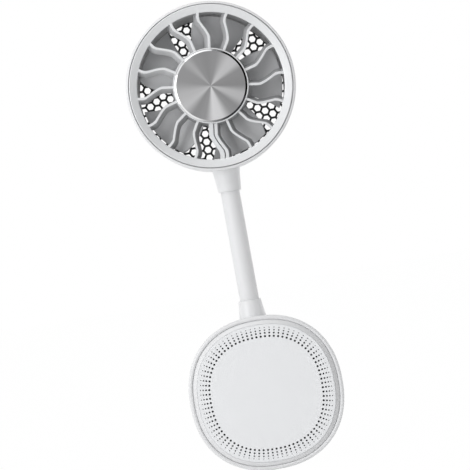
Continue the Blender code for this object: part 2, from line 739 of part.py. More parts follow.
def motor(head, spin):
    """The outer-rotor motor: bush, board, wound core and leads stand still; shaft, can and magnet turn."""
    top = FLOOR_BACK - GAP
    bore = SHAFT_RADIUS + GAP
    bush_back = CAN_BACK + CAN_FLOOR + RUNNING_GAP + 2 * GAP
    bush = [(BUSH_RADIUS, top), (BUSH_RADIUS, bush_back), (bore, bush_back), (bore, top)]
    turned("motor_bush", bush, BRONZE, head, HEAD_FRAME, steps=SMALL)
    inside = BUSH_RADIUS + GAP
    outside = STATOR_RADIUS + LEAD_SOLDER / 2
    board = [(outside, top), (outside, BOARD_BACK), (inside, BOARD_BACK), (inside, top)]
    turned("motor_board", board, GREEN, head, HEAD_FRAME, steps=SMALL)
    core_top, core_back = BOARD_BACK - GAP, CAN_BACK + CAN_FLOOR + CORE_LIFT
    pitch = 2 * math.pi / STATOR_TEETH
    tooth = ((STATOR_RADIUS, -0.4), (STATOR_RADIUS, 0), (STATOR_RADIUS, 0.4), (0.55 * STATOR_RADIUS, 0.5))
    outline = []
    for i in range(STATOR_TEETH):
        for radius, share in tooth:
            outline.append((radius * math.cos((i + share) * pitch), radius * math.sin((i + share) * pitch)))
    core = [outline, polygon((0, 0), inside, SMALL)]
    flat("motor_windings", core, core_back, core_top, COPPER, head, HEAD_FRAME)
    wire("motor_leads", lead_route(), LEAD_RADIUS, WIRE_RED, head, HEAD_FRAME, resolution=1)
    floor = CAN_BACK + CAN_FLOOR
    profile = [(0, floor), (CAN_INSIDE, floor), (CAN_INSIDE, CAN_TOP)]
    profile += [(CAN_RADIUS, CAN_TOP), (CAN_RADIUS, CAN_BACK), (0, CAN_BACK)]
    turned("rotor_can", profile, STEEL, spin, HEAD_FRAME, steps=TUBE_SIDES, ring=False)
    magnet_top, magnet_back = CAN_TOP - RUNNING_GAP, floor + GAP
    magnet = [
        (MAGNET_INSIDE + MAGNET_WALL, magnet_top),
        (MAGNET_INSIDE + MAGNET_WALL, magnet_back),
        (MAGNET_INSIDE, magnet_back),
        (MAGNET_INSIDE, magnet_top),
    ]
    turned("magnet_ring", magnet, FERRITE, spin, HEAD_FRAME, steps=TUBE_SIDES)
    solid_round("motor_shaft", SHAFT_RADIUS, floor + GAP, top - RUNNING_GAP, STEEL, spin, HEAD_FRAME, SMALL)


def blade(name, middle):
    """One blade: a twisted sheet with its front edge anticlockwise and its back edge clockwise."""
    across, along = 5, 4
    inner, outer = ROTOR_HUB_RADIUS - ROTOR_HUB_WALL / 2, BLADE_RADIUS
    work = bmesh.new()
    rows = []
    for j in range(along + 1):
        radius = inner + (outer - inner) * j / along
        reach = (radius - inner) / (outer - inner)
        row = []
        for i in range(across + 1):
            share = i / across
            span = BLADE_SPAN * (1 - BLADE_TAPER * reach * reach)
            angle = middle + span * (share - 0.5) + BLADE_SWEEP * reach * reach
            camber = BLADE_CAMBER * math.sin(math.pi * share)
            height = BLADE_TOP - BLADE_THICKNESS / 2 - (BLADE_AXIAL - BLADE_THICKNESS) * share + camber
            row.append(work.verts.new(around(radius, angle, height)))
        rows.append(row)
    for near, far in zip(rows, rows[1:]):
        for i in range(across):
            work.faces.new((near[i], near[i + 1], far[i + 1], far[i]))
    mesh = bpy.data.meshes.new(name)
    work.to_mesh(mesh)
    work.free()
    obj = put(name, mesh, None, frame=HEAD_FRAME)
    wall = obj.modifiers.new("thickness", "SOLIDIFY")
    wall.thickness = BLADE_THICKNESS
    wall.offset = 0
    return obj


def impeller(spin):
    """Five broad blades on a cup that sits over the motor's can."""
    floor = CAN_BACK - GAP
    top = BLADE_TOP + ROTOR_HUB_PROUD
    profile = [
        (0, floor),
        (ROTOR_HUB_INSIDE, floor),
        (ROTOR_HUB_INSIDE, top),
        (ROTOR_HUB_RADIUS, top),
        (ROTOR_HUB_RADIUS, ROTOR_HUB_BACK + ROTOR_HUB_EDGE),
        (ROTOR_HUB_RADIUS - ROTOR_HUB_EDGE, ROTOR_HUB_BACK),
        (0, ROTOR_HUB_BACK),
    ]
    wheel = turned("impeller", profile, BLADE_GREY, spin, HEAD_FRAME, steps=32, ring=False)
    for i in range(BLADES):
        fuse(wheel, blade(f"blade_{i}", BLADE_FIRST + 2 * math.pi * i / BLADES))
    return wheel


# Neck


def dome(middle, radius, inner, outer, steps=2):
    """Points of a sphere about `middle` on the axis, between two distances from the axis."""
    start, end = math.asin(inner / radius), math.asin(outer / radius)
    angles = [start + (end - start) * i / steps for i in range(steps + 1)]
    return [(radius * math.sin(a), middle + radius * math.cos(a)) for a in angles]


def neck_piece(name, inner, outer, low, high, look, carrier, sides):
    """One length of the neck. `low` and `high` are a hinge's centre as (height, True), or a flat end's height
    as (height, False), whose tube runs on as a thin plug of PLUG_LENGTH into the collar there."""
    axis = Matrix.Translation((0, NECK_Y, 0))
    plug = min(PLUG_RADIUS, outer)
    if high[1]:
        top = dome(high[0], DOME_RADIUS, inner, outer)
    else:
        top = [(inner, high[0] + PLUG_LENGTH), (plug, high[0] + PLUG_LENGTH)]
        top += [(plug, high[0]), (outer, high[0])] if plug < outer else []
    if low[1]:
        bottom = dome(low[0], DOME_RADIUS + GAP, inner, outer)[::-1]
    else:
        bottom = [(outer, low[0]), (plug, low[0])] if plug < outer else []
        bottom += [(plug, low[0] - PLUG_LENGTH), (inner, low[0] - PLUG_LENGTH)]
    return turned(name, top + bottom, look, carrier, axis, sides, ring=inner > 0)


def neck(bodies):
    """A bendable tube as seven rigid lengths that turn in one another like ball joints: a silicone sleeve
    over a core of the gooseneck's wound steel."""
    hinges = [LOWER_LIP + HINGE_PITCH * (i + 0.5) for i in range(NECK_JOINTS)]
    lows = [(LOWER_LIP + GAP, False)] + [(z, True) for z in hinges]
    highs = [(z, True) for z in hinges] + [(UPPER_LIP - GAP, False)]
    for i, (low, high, carrier) in enumerate(zip(lows, highs, bodies)):
        neck_piece(f"neck_sleeve_{i}", SPINE_RADIUS + GAP, TUBE_RADIUS, low, high, SILICONE, carrier, TUBE_SIDES)
        neck_piece(f"neck_core_{i}", 0.0, SPINE_RADIUS, low, high, STEEL, carrier, 6)


# Base


def base_shell():
    """The deep rear shell of the base, with the neck's lower collar on top and the clip's lugs behind."""
    rim = COVER_INSET - GAP / 2
    ledge = RIM_HEIGHT - COVER_SKIRT - GAP
    inner_edge = BASE_EDGE - BASE_BACK
    sections = [
        (BASE_WALL + inner_edge, BASE_FLOOR),
        (BASE_WALL + inner_edge * 0.3, BASE_FLOOR + inner_edge * 0.3),
        (BASE_WALL, BASE_FLOOR + inner_edge),
        (BASE_WALL, ledge),
        (rim, ledge),
        (rim, RIM_HEIGHT),
        (RIM_EDGE, RIM_HEIGHT - RIM_EDGE / 2),
        (0, RIM_HEIGHT - RIM_ROUNDING),
    ]
    for degrees in (0, 30, 60, 90):
        angle = degrees * DEG
        sections.append((BASE_EDGE * (1 - math.cos(angle)), BACK_FROM_GRIP + BASE_EDGE * (1 - math.sin(angle))))
    shell = loft("base_shell", base_rings(sections), WHITE, frame=BASE_FRAME)

    axis = Matrix.Translation((0, NECK_Y, 0))
    skin = BASE_Z + BASE_HALF
    root = skin - BASE_WALL + GAP
    taper = LOWER_ROOT - LIP_RADIUS
    collar = [
        (0, LOWER_LIP),
        (LIP_RADIUS - COLLAR_EDGE, LOWER_LIP),
        (LIP_RADIUS, LOWER_LIP - COLLAR_EDGE),
        (LIP_RADIUS + taper * 0.16, skin + LOWER_COLLAR * 0.45),
        (LOWER_ROOT, skin + GAP),
        (LOWER_ROOT + COLLAR_FILLET, root),
        (0, root),
    ]
    fuse(shell, turned("lower_collar", collar, None, frame=axis, steps=TUBE_SIDES, ring=False))
    cut(shell, solid_round("lower_bore", COLLAR_BORE, root - MM, LOWER_LIP + MM, None, frame=axis, steps=TUBE_SIDES))

    for side in (-1, 1):
        outline = [(-BACK_FROM_GRIP - MM, PIVOT_Z - LUG_RADIUS - MM)]
        for i in range(7):
            angle = (-90 + 30 * i) * DEG
            outline.append((PIVOT_Y + LUG_RADIUS * math.cos(angle), PIVOT_Z + LUG_RADIUS * math.sin(angle)))
        outline.append((-BACK_FROM_GRIP - MM, PIVOT_Z + LUG_RADIUS + MM))
        ends = sorted((side * LUG_OUTSIDE, side * (LUG_OUTSIDE - LUG_WIDTH)))
        fuse(shell, flat(f"lug_{side}", [outline], ends[0], ends[1], None, frame=SIDE_FRAME))
    pin_axis = Matrix.Translation((0, PIVOT_Y, PIVOT_Z)) @ ACROSS
    reach = LUG_OUTSIDE + MM
    cut(shell, solid_round("lug_bore", PIN_RADIUS + GAP, -reach, reach, None, frame=pin_axis, steps=SMALL))

    half = PAD_WIDTH / 2 + GAP
    tall = PAD_HEIGHT / 2 + GAP
    floor = -BACK_FROM_GRIP - PAD_RECESS
    cut(shell, box("pad_recess", (-half, floor, -tall), (half, MM, tall), None))
    port_half = PORT[0] / 2 + GAP
    port_tall = PORT[2] / 2 + GAP
    bottom = BASE_Z - BASE_HALF
    low = (-port_half, NECK_Y - port_tall, bottom - MM)
    high = (port_half, NECK_Y + port_tall, bottom + BASE_WALL + MM)
    cut(shell, box("port_slot", low, high, None, edge=PORT_CORNER))
    side_hole = Matrix.Translation((BASE_HALF, NECK_Y, BASE_Z)) @ ACROSS
    low, high = -BASE_WALL - MM, MM
    cut(shell, solid_round("button_hole", BUTTON_RADIUS + GAP, low, high, None, frame=side_hole, steps=SMALL))
    led_hole = Matrix.Translation((0, 0, LED_RISE)) @ side_hole
    cut(shell, solid_round("led_hole", LED_RADIUS + GAP, low - MM, high, None, frame=led_hole, steps=SMALL))
    for i, (x, y) in enumerate(post_places()):
        frame = BASE_FRAME @ Matrix.Translation((x, y, 0))
        back = BACK_FROM_GRIP
        seat = back + SCREW_RECESS
        cut(shell, solid_round(f"screw_recess_{i}", SCREW_HEAD + GAP, back - MM, seat, None, frame=frame, steps=10))
        deep = BASE_FLOOR + MM
        cut(shell, solid_round(f"screw_way_{i}", SCREW_SHANK + GAP, back, deep, None, frame=frame, steps=8))
    for side in (-1, 1):
        place = (side * (BOARD_HALF_WIDTH - BOARD_BOSS_EDGE), board_bottom() + BOARD_BOSS_EDGE, 0)
        frame = BASE_FRAME @ Matrix.Translation(place)
        low, high = BASE_FLOOR - BASE_BACK / 2, board_height() - GAP
        fuse(shell, solid_round(f"board_boss_{side}", BOARD_BOSS, low, high, None, frame=frame))
    return shell


def post_places():
    return [(x * POST_PLACE, y * POST_PLACE) for x in (-1, 1) for y in (-1, 1)]


def board_height():
    """The back face of the main board: the socket on its front is centred on the base's depth at the neck."""
    return -NECK_Y - PORT[2] / 2 - GAP - BOARD


def board_bottom():
    return -BASE_HALF + BASE_WALL + BOARD_INSET


def front_cover():
    """The front plate with its sloping border, one row of vents and the four posts that its screws enter."""
    edge = COVER_INSET + GAP / 2
    sections = [
        (PLATE_INSET, BASE_TOP),
        (edge, RIM_HEIGHT),
        (edge, RIM_HEIGHT - COVER_SKIRT),
        (edge + COVER_OVERLAP, RIM_HEIGHT - COVER_SKIRT),
        (edge + COVER_OVERLAP, BASE_TOP - COVER_WALL),
    ]
    cover = loft("base_front_cover", base_rings(sections), WHITE, frame=BASE_FRAME)
    low, high = BASE_TOP - COVER_WALL - MM, BASE_TOP + MM
    row = evenly(base_outline(VENT_ROW, 4 * OUTLINE), VENT_COUNT)
    work = bmesh.new()
    for place in row:
        frame = Matrix.Translation((place.x, place.y, (low + high) / 2))
        bmesh.ops.create_cone(
            work, cap_ends=True, segments=4, radius1=VENT_RADIUS, radius2=VENT_RADIUS, depth=high - low, matrix=frame
        )
    mesh = bpy.data.meshes.new("vents")
    work.to_mesh(mesh)
    work.free()
    cut(cover, put("vents", mesh, None, frame=BASE_FRAME))
    foot = BASE_FLOOR + GAP
    for i, (x, y) in enumerate(post_places()):
        frame = BASE_FRAME @ Matrix.Translation((x, y, 0))
        top = BASE_TOP - COVER_WALL + POST_GRIP
        profile = [(POST_RADIUS, top), (POST_RADIUS, foot), (SCREW_SHANK + GAP, foot), (SCREW_SHANK + GAP, top)]
        fuse(cover, turned(f"post_{i}", profile, None, frame=frame, steps=SMALL))
    return cover


def vent_screen():
    """A ring of dark mesh behind the vents, which hides what is inside."""
    middle = VENT_ROW - SCREEN_SHIFT
    outlines = [base_outline(middle + side * SCREEN_WIDTH / 2, OUTLINE // 2) for side in (-1, 1)]
    top = BASE_TOP - COVER_WALL - GAP
    return flat("vent_screen", outlines, top - SCREEN_THICKNESS, top, MESH_CLOTH, frame=BASE_FRAME)


def base_screws():
    for i, (x, y) in enumerate(post_places()):
        turn_over = BASE_FRAME @ Matrix.Translation((x, y, BACK_FROM_GRIP)) @ Matrix.Rotation(180 * DEG, 4, "X")
        profile = screw_profile(SCREW_HEAD, SCREW_SHANK, 0, SCREW_HEAD_HEIGHT, SCREW_LENGTH)
        turned(f"base_screw_{i + 1}", profile, STEEL, None, turn_over, steps=SCREW_SIDES, ring=False)


def electronics(button_carrier):
    """Battery, boards, charging socket, switch, button and indicator."""
    x, y, z = BATTERY_WIDTH, 2 * (POST_PLACE - POST_RADIUS - BATTERY_TO_POST), BATTERY_DEPTH
    floor = BASE_FLOOR + GAP
    low = (-x / 2 + BATTERY_PAD_INSET, -y / 2 + BATTERY_PAD_INSET, floor)
    box("battery_pad", low, (-low[0], -low[1], floor + BATTERY_PAD), FOAM, frame=BASE_FRAME)
    floor += BATTERY_PAD + GAP
    high = (x / 2, y / 2, floor + z)
    box("battery", (-x / 2, -y / 2, floor), high, BATTERY_FOIL, frame=BASE_FRAME, edge=BATTERY_EDGE)

    back = board_height()
    bottom = board_bottom()
    top = -POST_PLACE - POST_RADIUS + BOARD_TO_POST
    tongue = PORT[0] / 2 + TONGUE_MARGIN
    tip = -BASE_HALF + BASE_WALL + BOARD_END_GAP
    outline = [(-BOARD_HALF_WIDTH, bottom), (-tongue, bottom), (-tongue, tip), (tongue, tip), (tongue, bottom)]
    outline += [(BOARD_HALF_WIDTH, bottom), (BOARD_HALF_WIDTH, top), (-BOARD_HALF_WIDTH, top)]
    flat("main_board", [outline], back, back + BOARD, GREEN, frame=BASE_FRAME)

    mouth = -BASE_HALF + PORT_SETBACK
    low = (-PORT[0] / 2, mouth, -NECK_Y - PORT[2] / 2)
    high = (PORT[0] / 2, mouth + PORT[1], -NECK_Y + PORT[2] / 2)
    port = box("usb_c_port", low, high, STEEL, frame=BASE_FRAME, edge=PORT_CORNER)
    low = (low[0] + PORT_WALL, mouth - MM, low[2] + PORT_WALL)
    high = (high[0] - PORT_WALL, mouth + PORT[1] - MM, high[2] - PORT_WALL)
    cut(port, box("port_hollow", low, high, None, frame=BASE_FRAME, edge=PORT_CORNER - PORT_WALL / 2))
    wide, thick = PORT_TONGUE
    low = (-wide / 2, mouth + 2 * PORT_WALL, -NECK_Y - thick / 2)
    high = (wide / 2, mouth + PORT[1] - 2 * PORT_WALL, -NECK_Y + thick / 2)
    fuse(port, box("port_tongue", low, high, None, frame=BASE_FRAME))

    side = Matrix.Translation((BASE_HALF, NECK_Y, BASE_Z)) @ ACROSS
    flange_face = -BASE_WALL - GAP
    flange_back = flange_face - BUTTON_FLANGE_THICKNESS
    profile = [
        (0, -GAP - BUTTON_DISH),
        (BUTTON_RADIUS - BUTTON_EDGE, -GAP),
        (BUTTON_RADIUS, -GAP - BUTTON_EDGE),
        (BUTTON_RADIUS, flange_face),
        (BUTTON_RADIUS + BUTTON_FLANGE, flange_face),
        (BUTTON_RADIUS + BUTTON_FLANGE, flange_back),
        (0, flange_back),
    ]
    turned("power_button", profile, WHITE, button_carrier, side, steps=SMALL, ring=False)
    plunger = flange_back - BUTTON_TRAVEL - GAP
    start = plunger - SWITCH_DEPTH
    solid_round("tact_switch", SWITCH_RADIUS, start, plunger, FERRITE, frame=side, steps=8)
    board_face = BASE_HALF + start - GAP
    high = (board_face, LED_RISE + LED_MARGIN, -NECK_Y + SWITCH_BOARD_FRONT)
    low = (board_face - BOARD, high[1] - SWITCH_BOARD_HEIGHT, BASE_FLOOR + GAP)
    box("switch_board", low, high, GREEN, frame=BASE_FRAME)
    led = Matrix.Translation((0, 0, LED_RISE)) @ side
    solid_round("status_light", LED_RADIUS, start, -LED_SETBACK, CLEAR, frame=led, steps=8)
    end_x = x / 2 + GAP
    height = floor + z * 0.6
    pad_x = BOARD_HALF_WIDTH - 2 * BOARD_BOSS_EDGE
    front = back + BOARD + GAP + LEAD_RADIUS
    clear = LEAD_RADIUS + GAP
    route = [
        (end_x + LEAD_RADIUS, -y * 0.1, height),
        (end_x + 3 * LEAD_SLACK / 4, -y * 0.17, height + LEAD_SLACK / 4),
        (end_x + LEAD_SLACK, -y * 0.35, height + LEAD_SLACK / 2),
        (POST_PLACE - POST_RADIUS - 2 * clear, -y / 2 - 3 * clear, front + LEAD_SLACK),
        (pad_x, -y / 2 - LEAD_SLACK, front + LEAD_SLACK / 2),
        (pad_x, (top + bottom) / 2, front),
    ]
    wire("battery_leads", curved(route, 3), LEAD_RADIUS, WIRE_RED, frame=BASE_FRAME, resolution=1)


def curved(points, steps):
    """A smooth curve through the points, `steps` pieces from each to the next."""
    points = [Vector(p) for p in points]
    ends = [points[0] * 2 - points[1]] + points + [points[-1] * 2 - points[-2]]
    found = [points[0]]
    for a, b, c, d in zip(ends, ends[1:], ends[2:], ends[3:]):
        for i in range(1, steps + 1):
            t = i / steps
            t2, t3 = t * t, t * t * t
            place = b * 2 + (c - a) * t + (a * 2 - b * 5 + c * 4 - d) * t2 + (b * 3 - a - c * 3 + d) * t3
            found.append(place * 0.5)
    return found


# Clip


def rib_outline(face, back, towards):
    """A pad's side outline in Y and Z, with ribs on its grip face."""
    pitch = PAD_HEIGHT / PAD_RIBS
    outline = [(back, -PAD_HEIGHT / 2)]
    for i in range(PAD_RIBS):
        low = -PAD_HEIGHT / 2 + i * pitch
        outline += [
            (face - towards * PAD_RIB, low + 0.02 * pitch),
            (face, low + 0.3 * pitch),
            (face, low + 0.7 * pitch),
            (face - towards * PAD_RIB, low + 0.98 * pitch),
        ]
    outline.append((back, PAD_HEIGHT / 2))
    return outline


def clip_pads(arm_carrier):
    half = PAD_WIDTH / 2
    arm_face, base_face = GAP / 2, -GAP / 2
    outline = rib_outline(arm_face, arm_face + PAD_THICKNESS, -1)
    flat("arm_pad", [outline], -half, half, RUBBER, arm_carrier, SIDE_FRAME)
    base_back = -BACK_FROM_GRIP - PAD_RECESS + GAP
    outline = rib_outline(base_face, base_back, 1)
    flat("base_pad", [outline], -half, half, RUBBER, frame=SIDE_FRAME)


def arm_line():
    """The arm from the jaw's tip up to the finger tab: places in Y and Z of its middle, and its half width."""
    jaw = ARM_INNER + CLIP_THICKNESS / 2
    behind_pin = PIVOT_Y + KNUCKLE_RADIUS + CLIP_THICKNESS / 2
    half = CLIP_WIDTH / 2
    low = PAD_HEIGHT / 2
    below, above = ARM_STRAIGHT
    return [
        (jaw + JAW_SPREAD, -low - JAW_TIP, half - ARM_END_CORNER),
        (jaw + JAW_SPREAD * 0.8, -low - JAW_TIP * 0.85, half - ARM_END_CORNER * 0.4),
        (jaw + JAW_SPREAD * 0.33, -low - JAW_TIP * 0.5, half - ARM_END_CORNER * 0.1),
        (jaw, -low - JAW_MARGIN, half),
        (jaw, low + JAW_MARGIN, half),
        (jaw + JAW_LEAN, low + JAW_RISE, half),
        (behind_pin - JAW_LEAN, PIVOT_Z - ARM_BEND, half),
        (behind_pin, PIVOT_Z - below, half),
        (behind_pin, PIVOT_Z + above, half),
        (behind_pin + TAB_LEAN * 0.25, PIVOT_Z + TAB_HEIGHT * 0.5, half),
        (behind_pin + TAB_LEAN * 0.67, PIVOT_Z + TAB_HEIGHT * 0.8, half - ARM_END_CORNER * 0.1),
        (behind_pin + TAB_LEAN * 0.9, PIVOT_Z + TAB_HEIGHT * 0.95, half - ARM_END_CORNER * 0.4),
        (behind_pin + TAB_LEAN, PIVOT_Z + TAB_HEIGHT, half - ARM_END_CORNER),
    ]


def clip_arm(carrier):
    """The lever: jaw below, finger tab above, with two knuckles that turn on the pin."""
    line = arm_line()
    rings = []
    edge = CLIP_THICKNESS * 0.35
    for i, (y, z, half) in enumerate(line):
        before, after = line[max(0, i - 1)], line[min(len(line) - 1, i + 1)]
        along = Vector((after[0] - before[0], after[1] - before[1])).normalized()
        outward = Vector((along.y, -along.x))
        thick = CLIP_THICKNESS / 2
        shape = [(half, -thick + edge), (half, thick - edge), (half - edge, thick), (-half + edge, thick)]
        shape += [(-half, thick - edge), (-half, -thick + edge), (-half + edge, -thick), (half - edge, -thick)]
        rings.append([(x, y + outward.x * t, z + outward.y * t) for x, t in shape])
    arm = loft("clip_arm", rings, WHITE, carrier)
    length, radius = TAB_RIB
    start, end = Vector(line[9][:2]), Vector(line[10][:2])
    along = (end - start).normalized()
    out = Vector((-along.y, along.x)) if along.y < 0 else Vector((along.y, -along.x))
    for i in range(TAB_RIBS):
        place = start.lerp(end, 0.6) + along * TAB_RIB_PITCH * (i - 1) + out * CLIP_THICKNESS / 2
        frame = Matrix.Translation((0, place.x, place.y)) @ ACROSS
        fuse(arm, solid_round(f"tab_rib_{i}", radius, -length / 2, length / 2, None, frame=frame, steps=6))
    inner = LUG_OUTSIDE - LUG_WIDTH - GAP - KNUCKLE_WIDTH
    for side in (-1, 1):
        start, end = sorted((side * inner, side * (inner + KNUCKLE_WIDTH)))
        outline = [(PIVOT_Y + KNUCKLE_RADIUS + MM, PIVOT_Z - KNUCKLE_RADIUS)]
        for i in range(7):
            angle = (-90 - 30 * i) * DEG
            outline.append((PIVOT_Y + KNUCKLE_RADIUS * math.cos(angle), PIVOT_Z + KNUCKLE_RADIUS * math.sin(angle)))
        outline.append((PIVOT_Y + KNUCKLE_RADIUS + MM, PIVOT_Z + KNUCKLE_RADIUS))
        fuse(arm, flat(f"knuckle_{side}", [outline], start, end, None, frame=SIDE_FRAME))
    pin_axis = Matrix.Translation((0, PIVOT_Y, PIVOT_Z)) @ ACROSS
    reach = LUG_OUTSIDE
    cut(arm, solid_round("knuckle_bore", PIN_RADIUS + GAP, -reach, reach, None, frame=pin_axis, steps=SMALL))
    return arm


def clip_spring():
    """A torsion spring on the pin: one leg on the base, the other on the finger tab."""
    length = SPRING_TURNS * SPRING_PITCH
    leg = PIVOT_Z + SPRING_LEG
    knee = PIVOT_Z + SPRING_LEG / 3
    points = [(-length / 2, -BACK_FROM_GRIP + GAP + SPRING_WIRE, leg)]
    points.append((-length / 2, PIVOT_Y - COIL_RADIUS - SPRING_WIRE, knee))
    steps = 8
    turns = SPRING_TURNS * steps
    for i in range(turns + steps // 2 + 1):
        angle = math.pi + 2 * math.pi * i / steps
        x = -length / 2 + length * i / (turns + steps // 2)
        points.append((x, PIVOT_Y + COIL_RADIUS * math.cos(angle), PIVOT_Z + COIL_RADIUS * math.sin(angle)))
    tab = PIVOT_Y + KNUCKLE_RADIUS - GAP - SPRING_WIRE
    points.append((length / 2, tab - SPRING_WIRE / 2, knee))
    points.append((length / 2, tab + SPRING_WIRE, leg))
    print("spring: least gap between turns", round((SPRING_PITCH - 2 * SPRING_WIRE) / MM, 2), "mm")
    return wire("clip_spring", points, SPRING_WIRE, STEEL, resolution=1)


def clip_pin():
    axis = Matrix.Translation((0, PIVOT_Y, PIVOT_Z)) @ ACROSS
    reach = LUG_OUTSIDE - GAP
    profile = [(0, reach), (PIN_RADIUS - PIN_EDGE, reach), (PIN_RADIUS, reach - PIN_EDGE)]
    profile += [(PIN_RADIUS, PIN_EDGE - reach), (PIN_RADIUS - PIN_EDGE, -reach), (0, -reach)]
    return turned("clip_pin", profile, STEEL, frame=axis, steps=SMALL, ring=False)


def settle():
    """Gives each piece its finished mesh, shaded smooth but for its sharp edges."""
    graph = bpy.context.evaluated_depsgraph_get()
    made = {}
    for obj in PARTS.objects:
        if obj.type == "MESH":
            made[obj] = bpy.data.meshes.new_from_object(obj.evaluated_get(graph))
    total = 0
    for obj, mesh in made.items():
        obj.modifiers.clear()
        obj.data = mesh
        mesh.name = obj.name
        mesh.shade_smooth()
        mesh.set_sharp_from_angle(angle=32 * DEG)
        count = sum(len(face.vertices) - 2 for face in mesh.polygons)
        total += count
        print(f"{obj.name}: {count} triangles")
    print("whole object:", total, "triangles")


def main():
    hinge_places = [(0, NECK_Y, LOWER_LIP + HINGE_PITCH * (i + 0.5)) for i in range(NECK_JOINTS)]
    links = [None] + [pivot(f"neck_hinge_{i + 1}", place) for i, place in enumerate(hinge_places)]
    head = links[-1]
    spin = pivot("spin_axis", (0, NECK_Y, HEAD_Z))
    clip = pivot("clip_pivot", (0, PIVOT_Y, PIVOT_Z))
    button = pivot("button_axis", (BASE_HALF, NECK_Y, BASE_Z))
    front_guard(head)
    hub_disc(head)
    shell = head_shell(head)
    rear_grille(head)
    head_screws(shell, head)
    motor(head, spin)
    impeller(spin)
    neck(links)
    base_shell()
    front_cover()
    vent_screen()
    base_screws()
    electronics(button)
    clip_arm(clip)
    clip_pads(clip)
    clip_pin()
    clip_spring()
    bpy.context.view_layer.update()
    settle()


main()
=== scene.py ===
# %% [markdown]
# # A clip-on fan, dressed for its picture
# The CAD part gives this fan its true sizes, its joints and its plain solids. This lesson puts finer
# pieces round that frame: moulded white shells, a guard of S-shaped vanes, a honeycomb grille, a bendable
# silicone neck and a base with four rows of vents. Sizes are in metres, apart from the profiles that are
# written in millimetres and multiplied by MM, and every piece goes where the CAD says.

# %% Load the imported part
import math

import bmesh
import bpy
from mathutils import Matrix, Vector


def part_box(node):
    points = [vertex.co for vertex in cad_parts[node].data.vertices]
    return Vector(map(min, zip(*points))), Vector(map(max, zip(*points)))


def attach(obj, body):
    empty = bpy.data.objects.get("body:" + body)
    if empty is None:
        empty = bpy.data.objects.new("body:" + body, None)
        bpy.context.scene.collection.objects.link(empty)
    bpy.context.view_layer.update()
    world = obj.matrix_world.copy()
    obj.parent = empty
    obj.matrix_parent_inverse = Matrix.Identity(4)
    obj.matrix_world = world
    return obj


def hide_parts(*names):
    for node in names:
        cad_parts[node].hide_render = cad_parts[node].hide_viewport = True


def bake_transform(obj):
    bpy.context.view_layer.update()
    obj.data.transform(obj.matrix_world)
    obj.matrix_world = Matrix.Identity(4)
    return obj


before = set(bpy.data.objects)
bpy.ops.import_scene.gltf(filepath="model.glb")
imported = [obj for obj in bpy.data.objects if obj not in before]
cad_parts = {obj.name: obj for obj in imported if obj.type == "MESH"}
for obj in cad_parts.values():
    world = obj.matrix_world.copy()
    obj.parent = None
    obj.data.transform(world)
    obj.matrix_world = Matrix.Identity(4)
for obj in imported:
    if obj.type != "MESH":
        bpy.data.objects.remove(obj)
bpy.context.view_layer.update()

MM = 0.001
DEG = math.radians(1)

# %% [markdown]
# ## Places
# The fan head and the base are both built as seen from the front: X to the right, Y up and a height
# towards the front. One matrix each then stands them up in the object's frame. The neck runs straight up
# behind the middle of the head, so its pieces only need to be moved back to the neck's line.

# %% The frames of the head, the base and the neck
HEAD_Z = 187.2 * MM
BASE_Z = 22 * MM
NECK_Y = -12 * MM
STAND = Matrix.Rotation(90 * DEG, 4, "X")
HEAD = Matrix.Translation((0, 0, HEAD_Z)) @ STAND
BASE = Matrix.Translation((0, 0, BASE_Z)) @ STAND
NECK = Matrix.Translation((0, NECK_Y, 0))
ALONG_X = Matrix.Rotation(90 * DEG, 4, "Y")
for node in ("head_shell", "base_shell", "clip_arm"):
    low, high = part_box(node)
    print(node, [round(value / MM, 1) for value in (*low, *high)])


def around(radius, clockwise, height=0.0):
    """A point as seen from the front, its angle running clockwise from the top."""
    return Vector((radius * math.sin(clockwise), radius * math.cos(clockwise), height))


# %% [markdown]
# ## Tools for making shapes
# Nearly every part of this fan is either turned, like a lid, or moulded with a changing outline. Both can
# be made by hand from one circle: extrude it, then scale or move the new ring, and go on to the next. That
# keeps the faces in neat bands, which shade well and take a bevel. Before each step everything is
# deselected, because an operator acts on all that is selected.

# %% Select, name and place
def clear():
    """Leaves edit mode and deselects everything."""
    if bpy.context.object and bpy.context.object.mode != "OBJECT":
        bpy.ops.object.mode_set(mode="OBJECT")
    bpy.ops.object.select_all(action="DESELECT")


def pick(*objects):
    """Selects these alone and makes the first one active."""
    clear()
    for obj in objects:
        obj.select_set(True)
    bpy.context.view_layer.objects.active = objects[0]
    return objects[0]


def placed(obj, name, where=None):
    """Leaves edit mode and works the place into the mesh, so that the object sits at the origin."""
    bpy.ops.object.mode_set(mode="OBJECT")
    obj.name = obj.data.name = name
    if where:
        obj.matrix_world = where @ obj.matrix_world
    bpy.ops.object.transform_apply(location=True, rotation=True, scale=True)
    return obj


# %% Turn a profile
def in_mm(pairs):
    """Pairs of sizes, such as (radius, height), that are written in millimetres."""
    return [(first * MM, second * MM) for first, second in pairs]


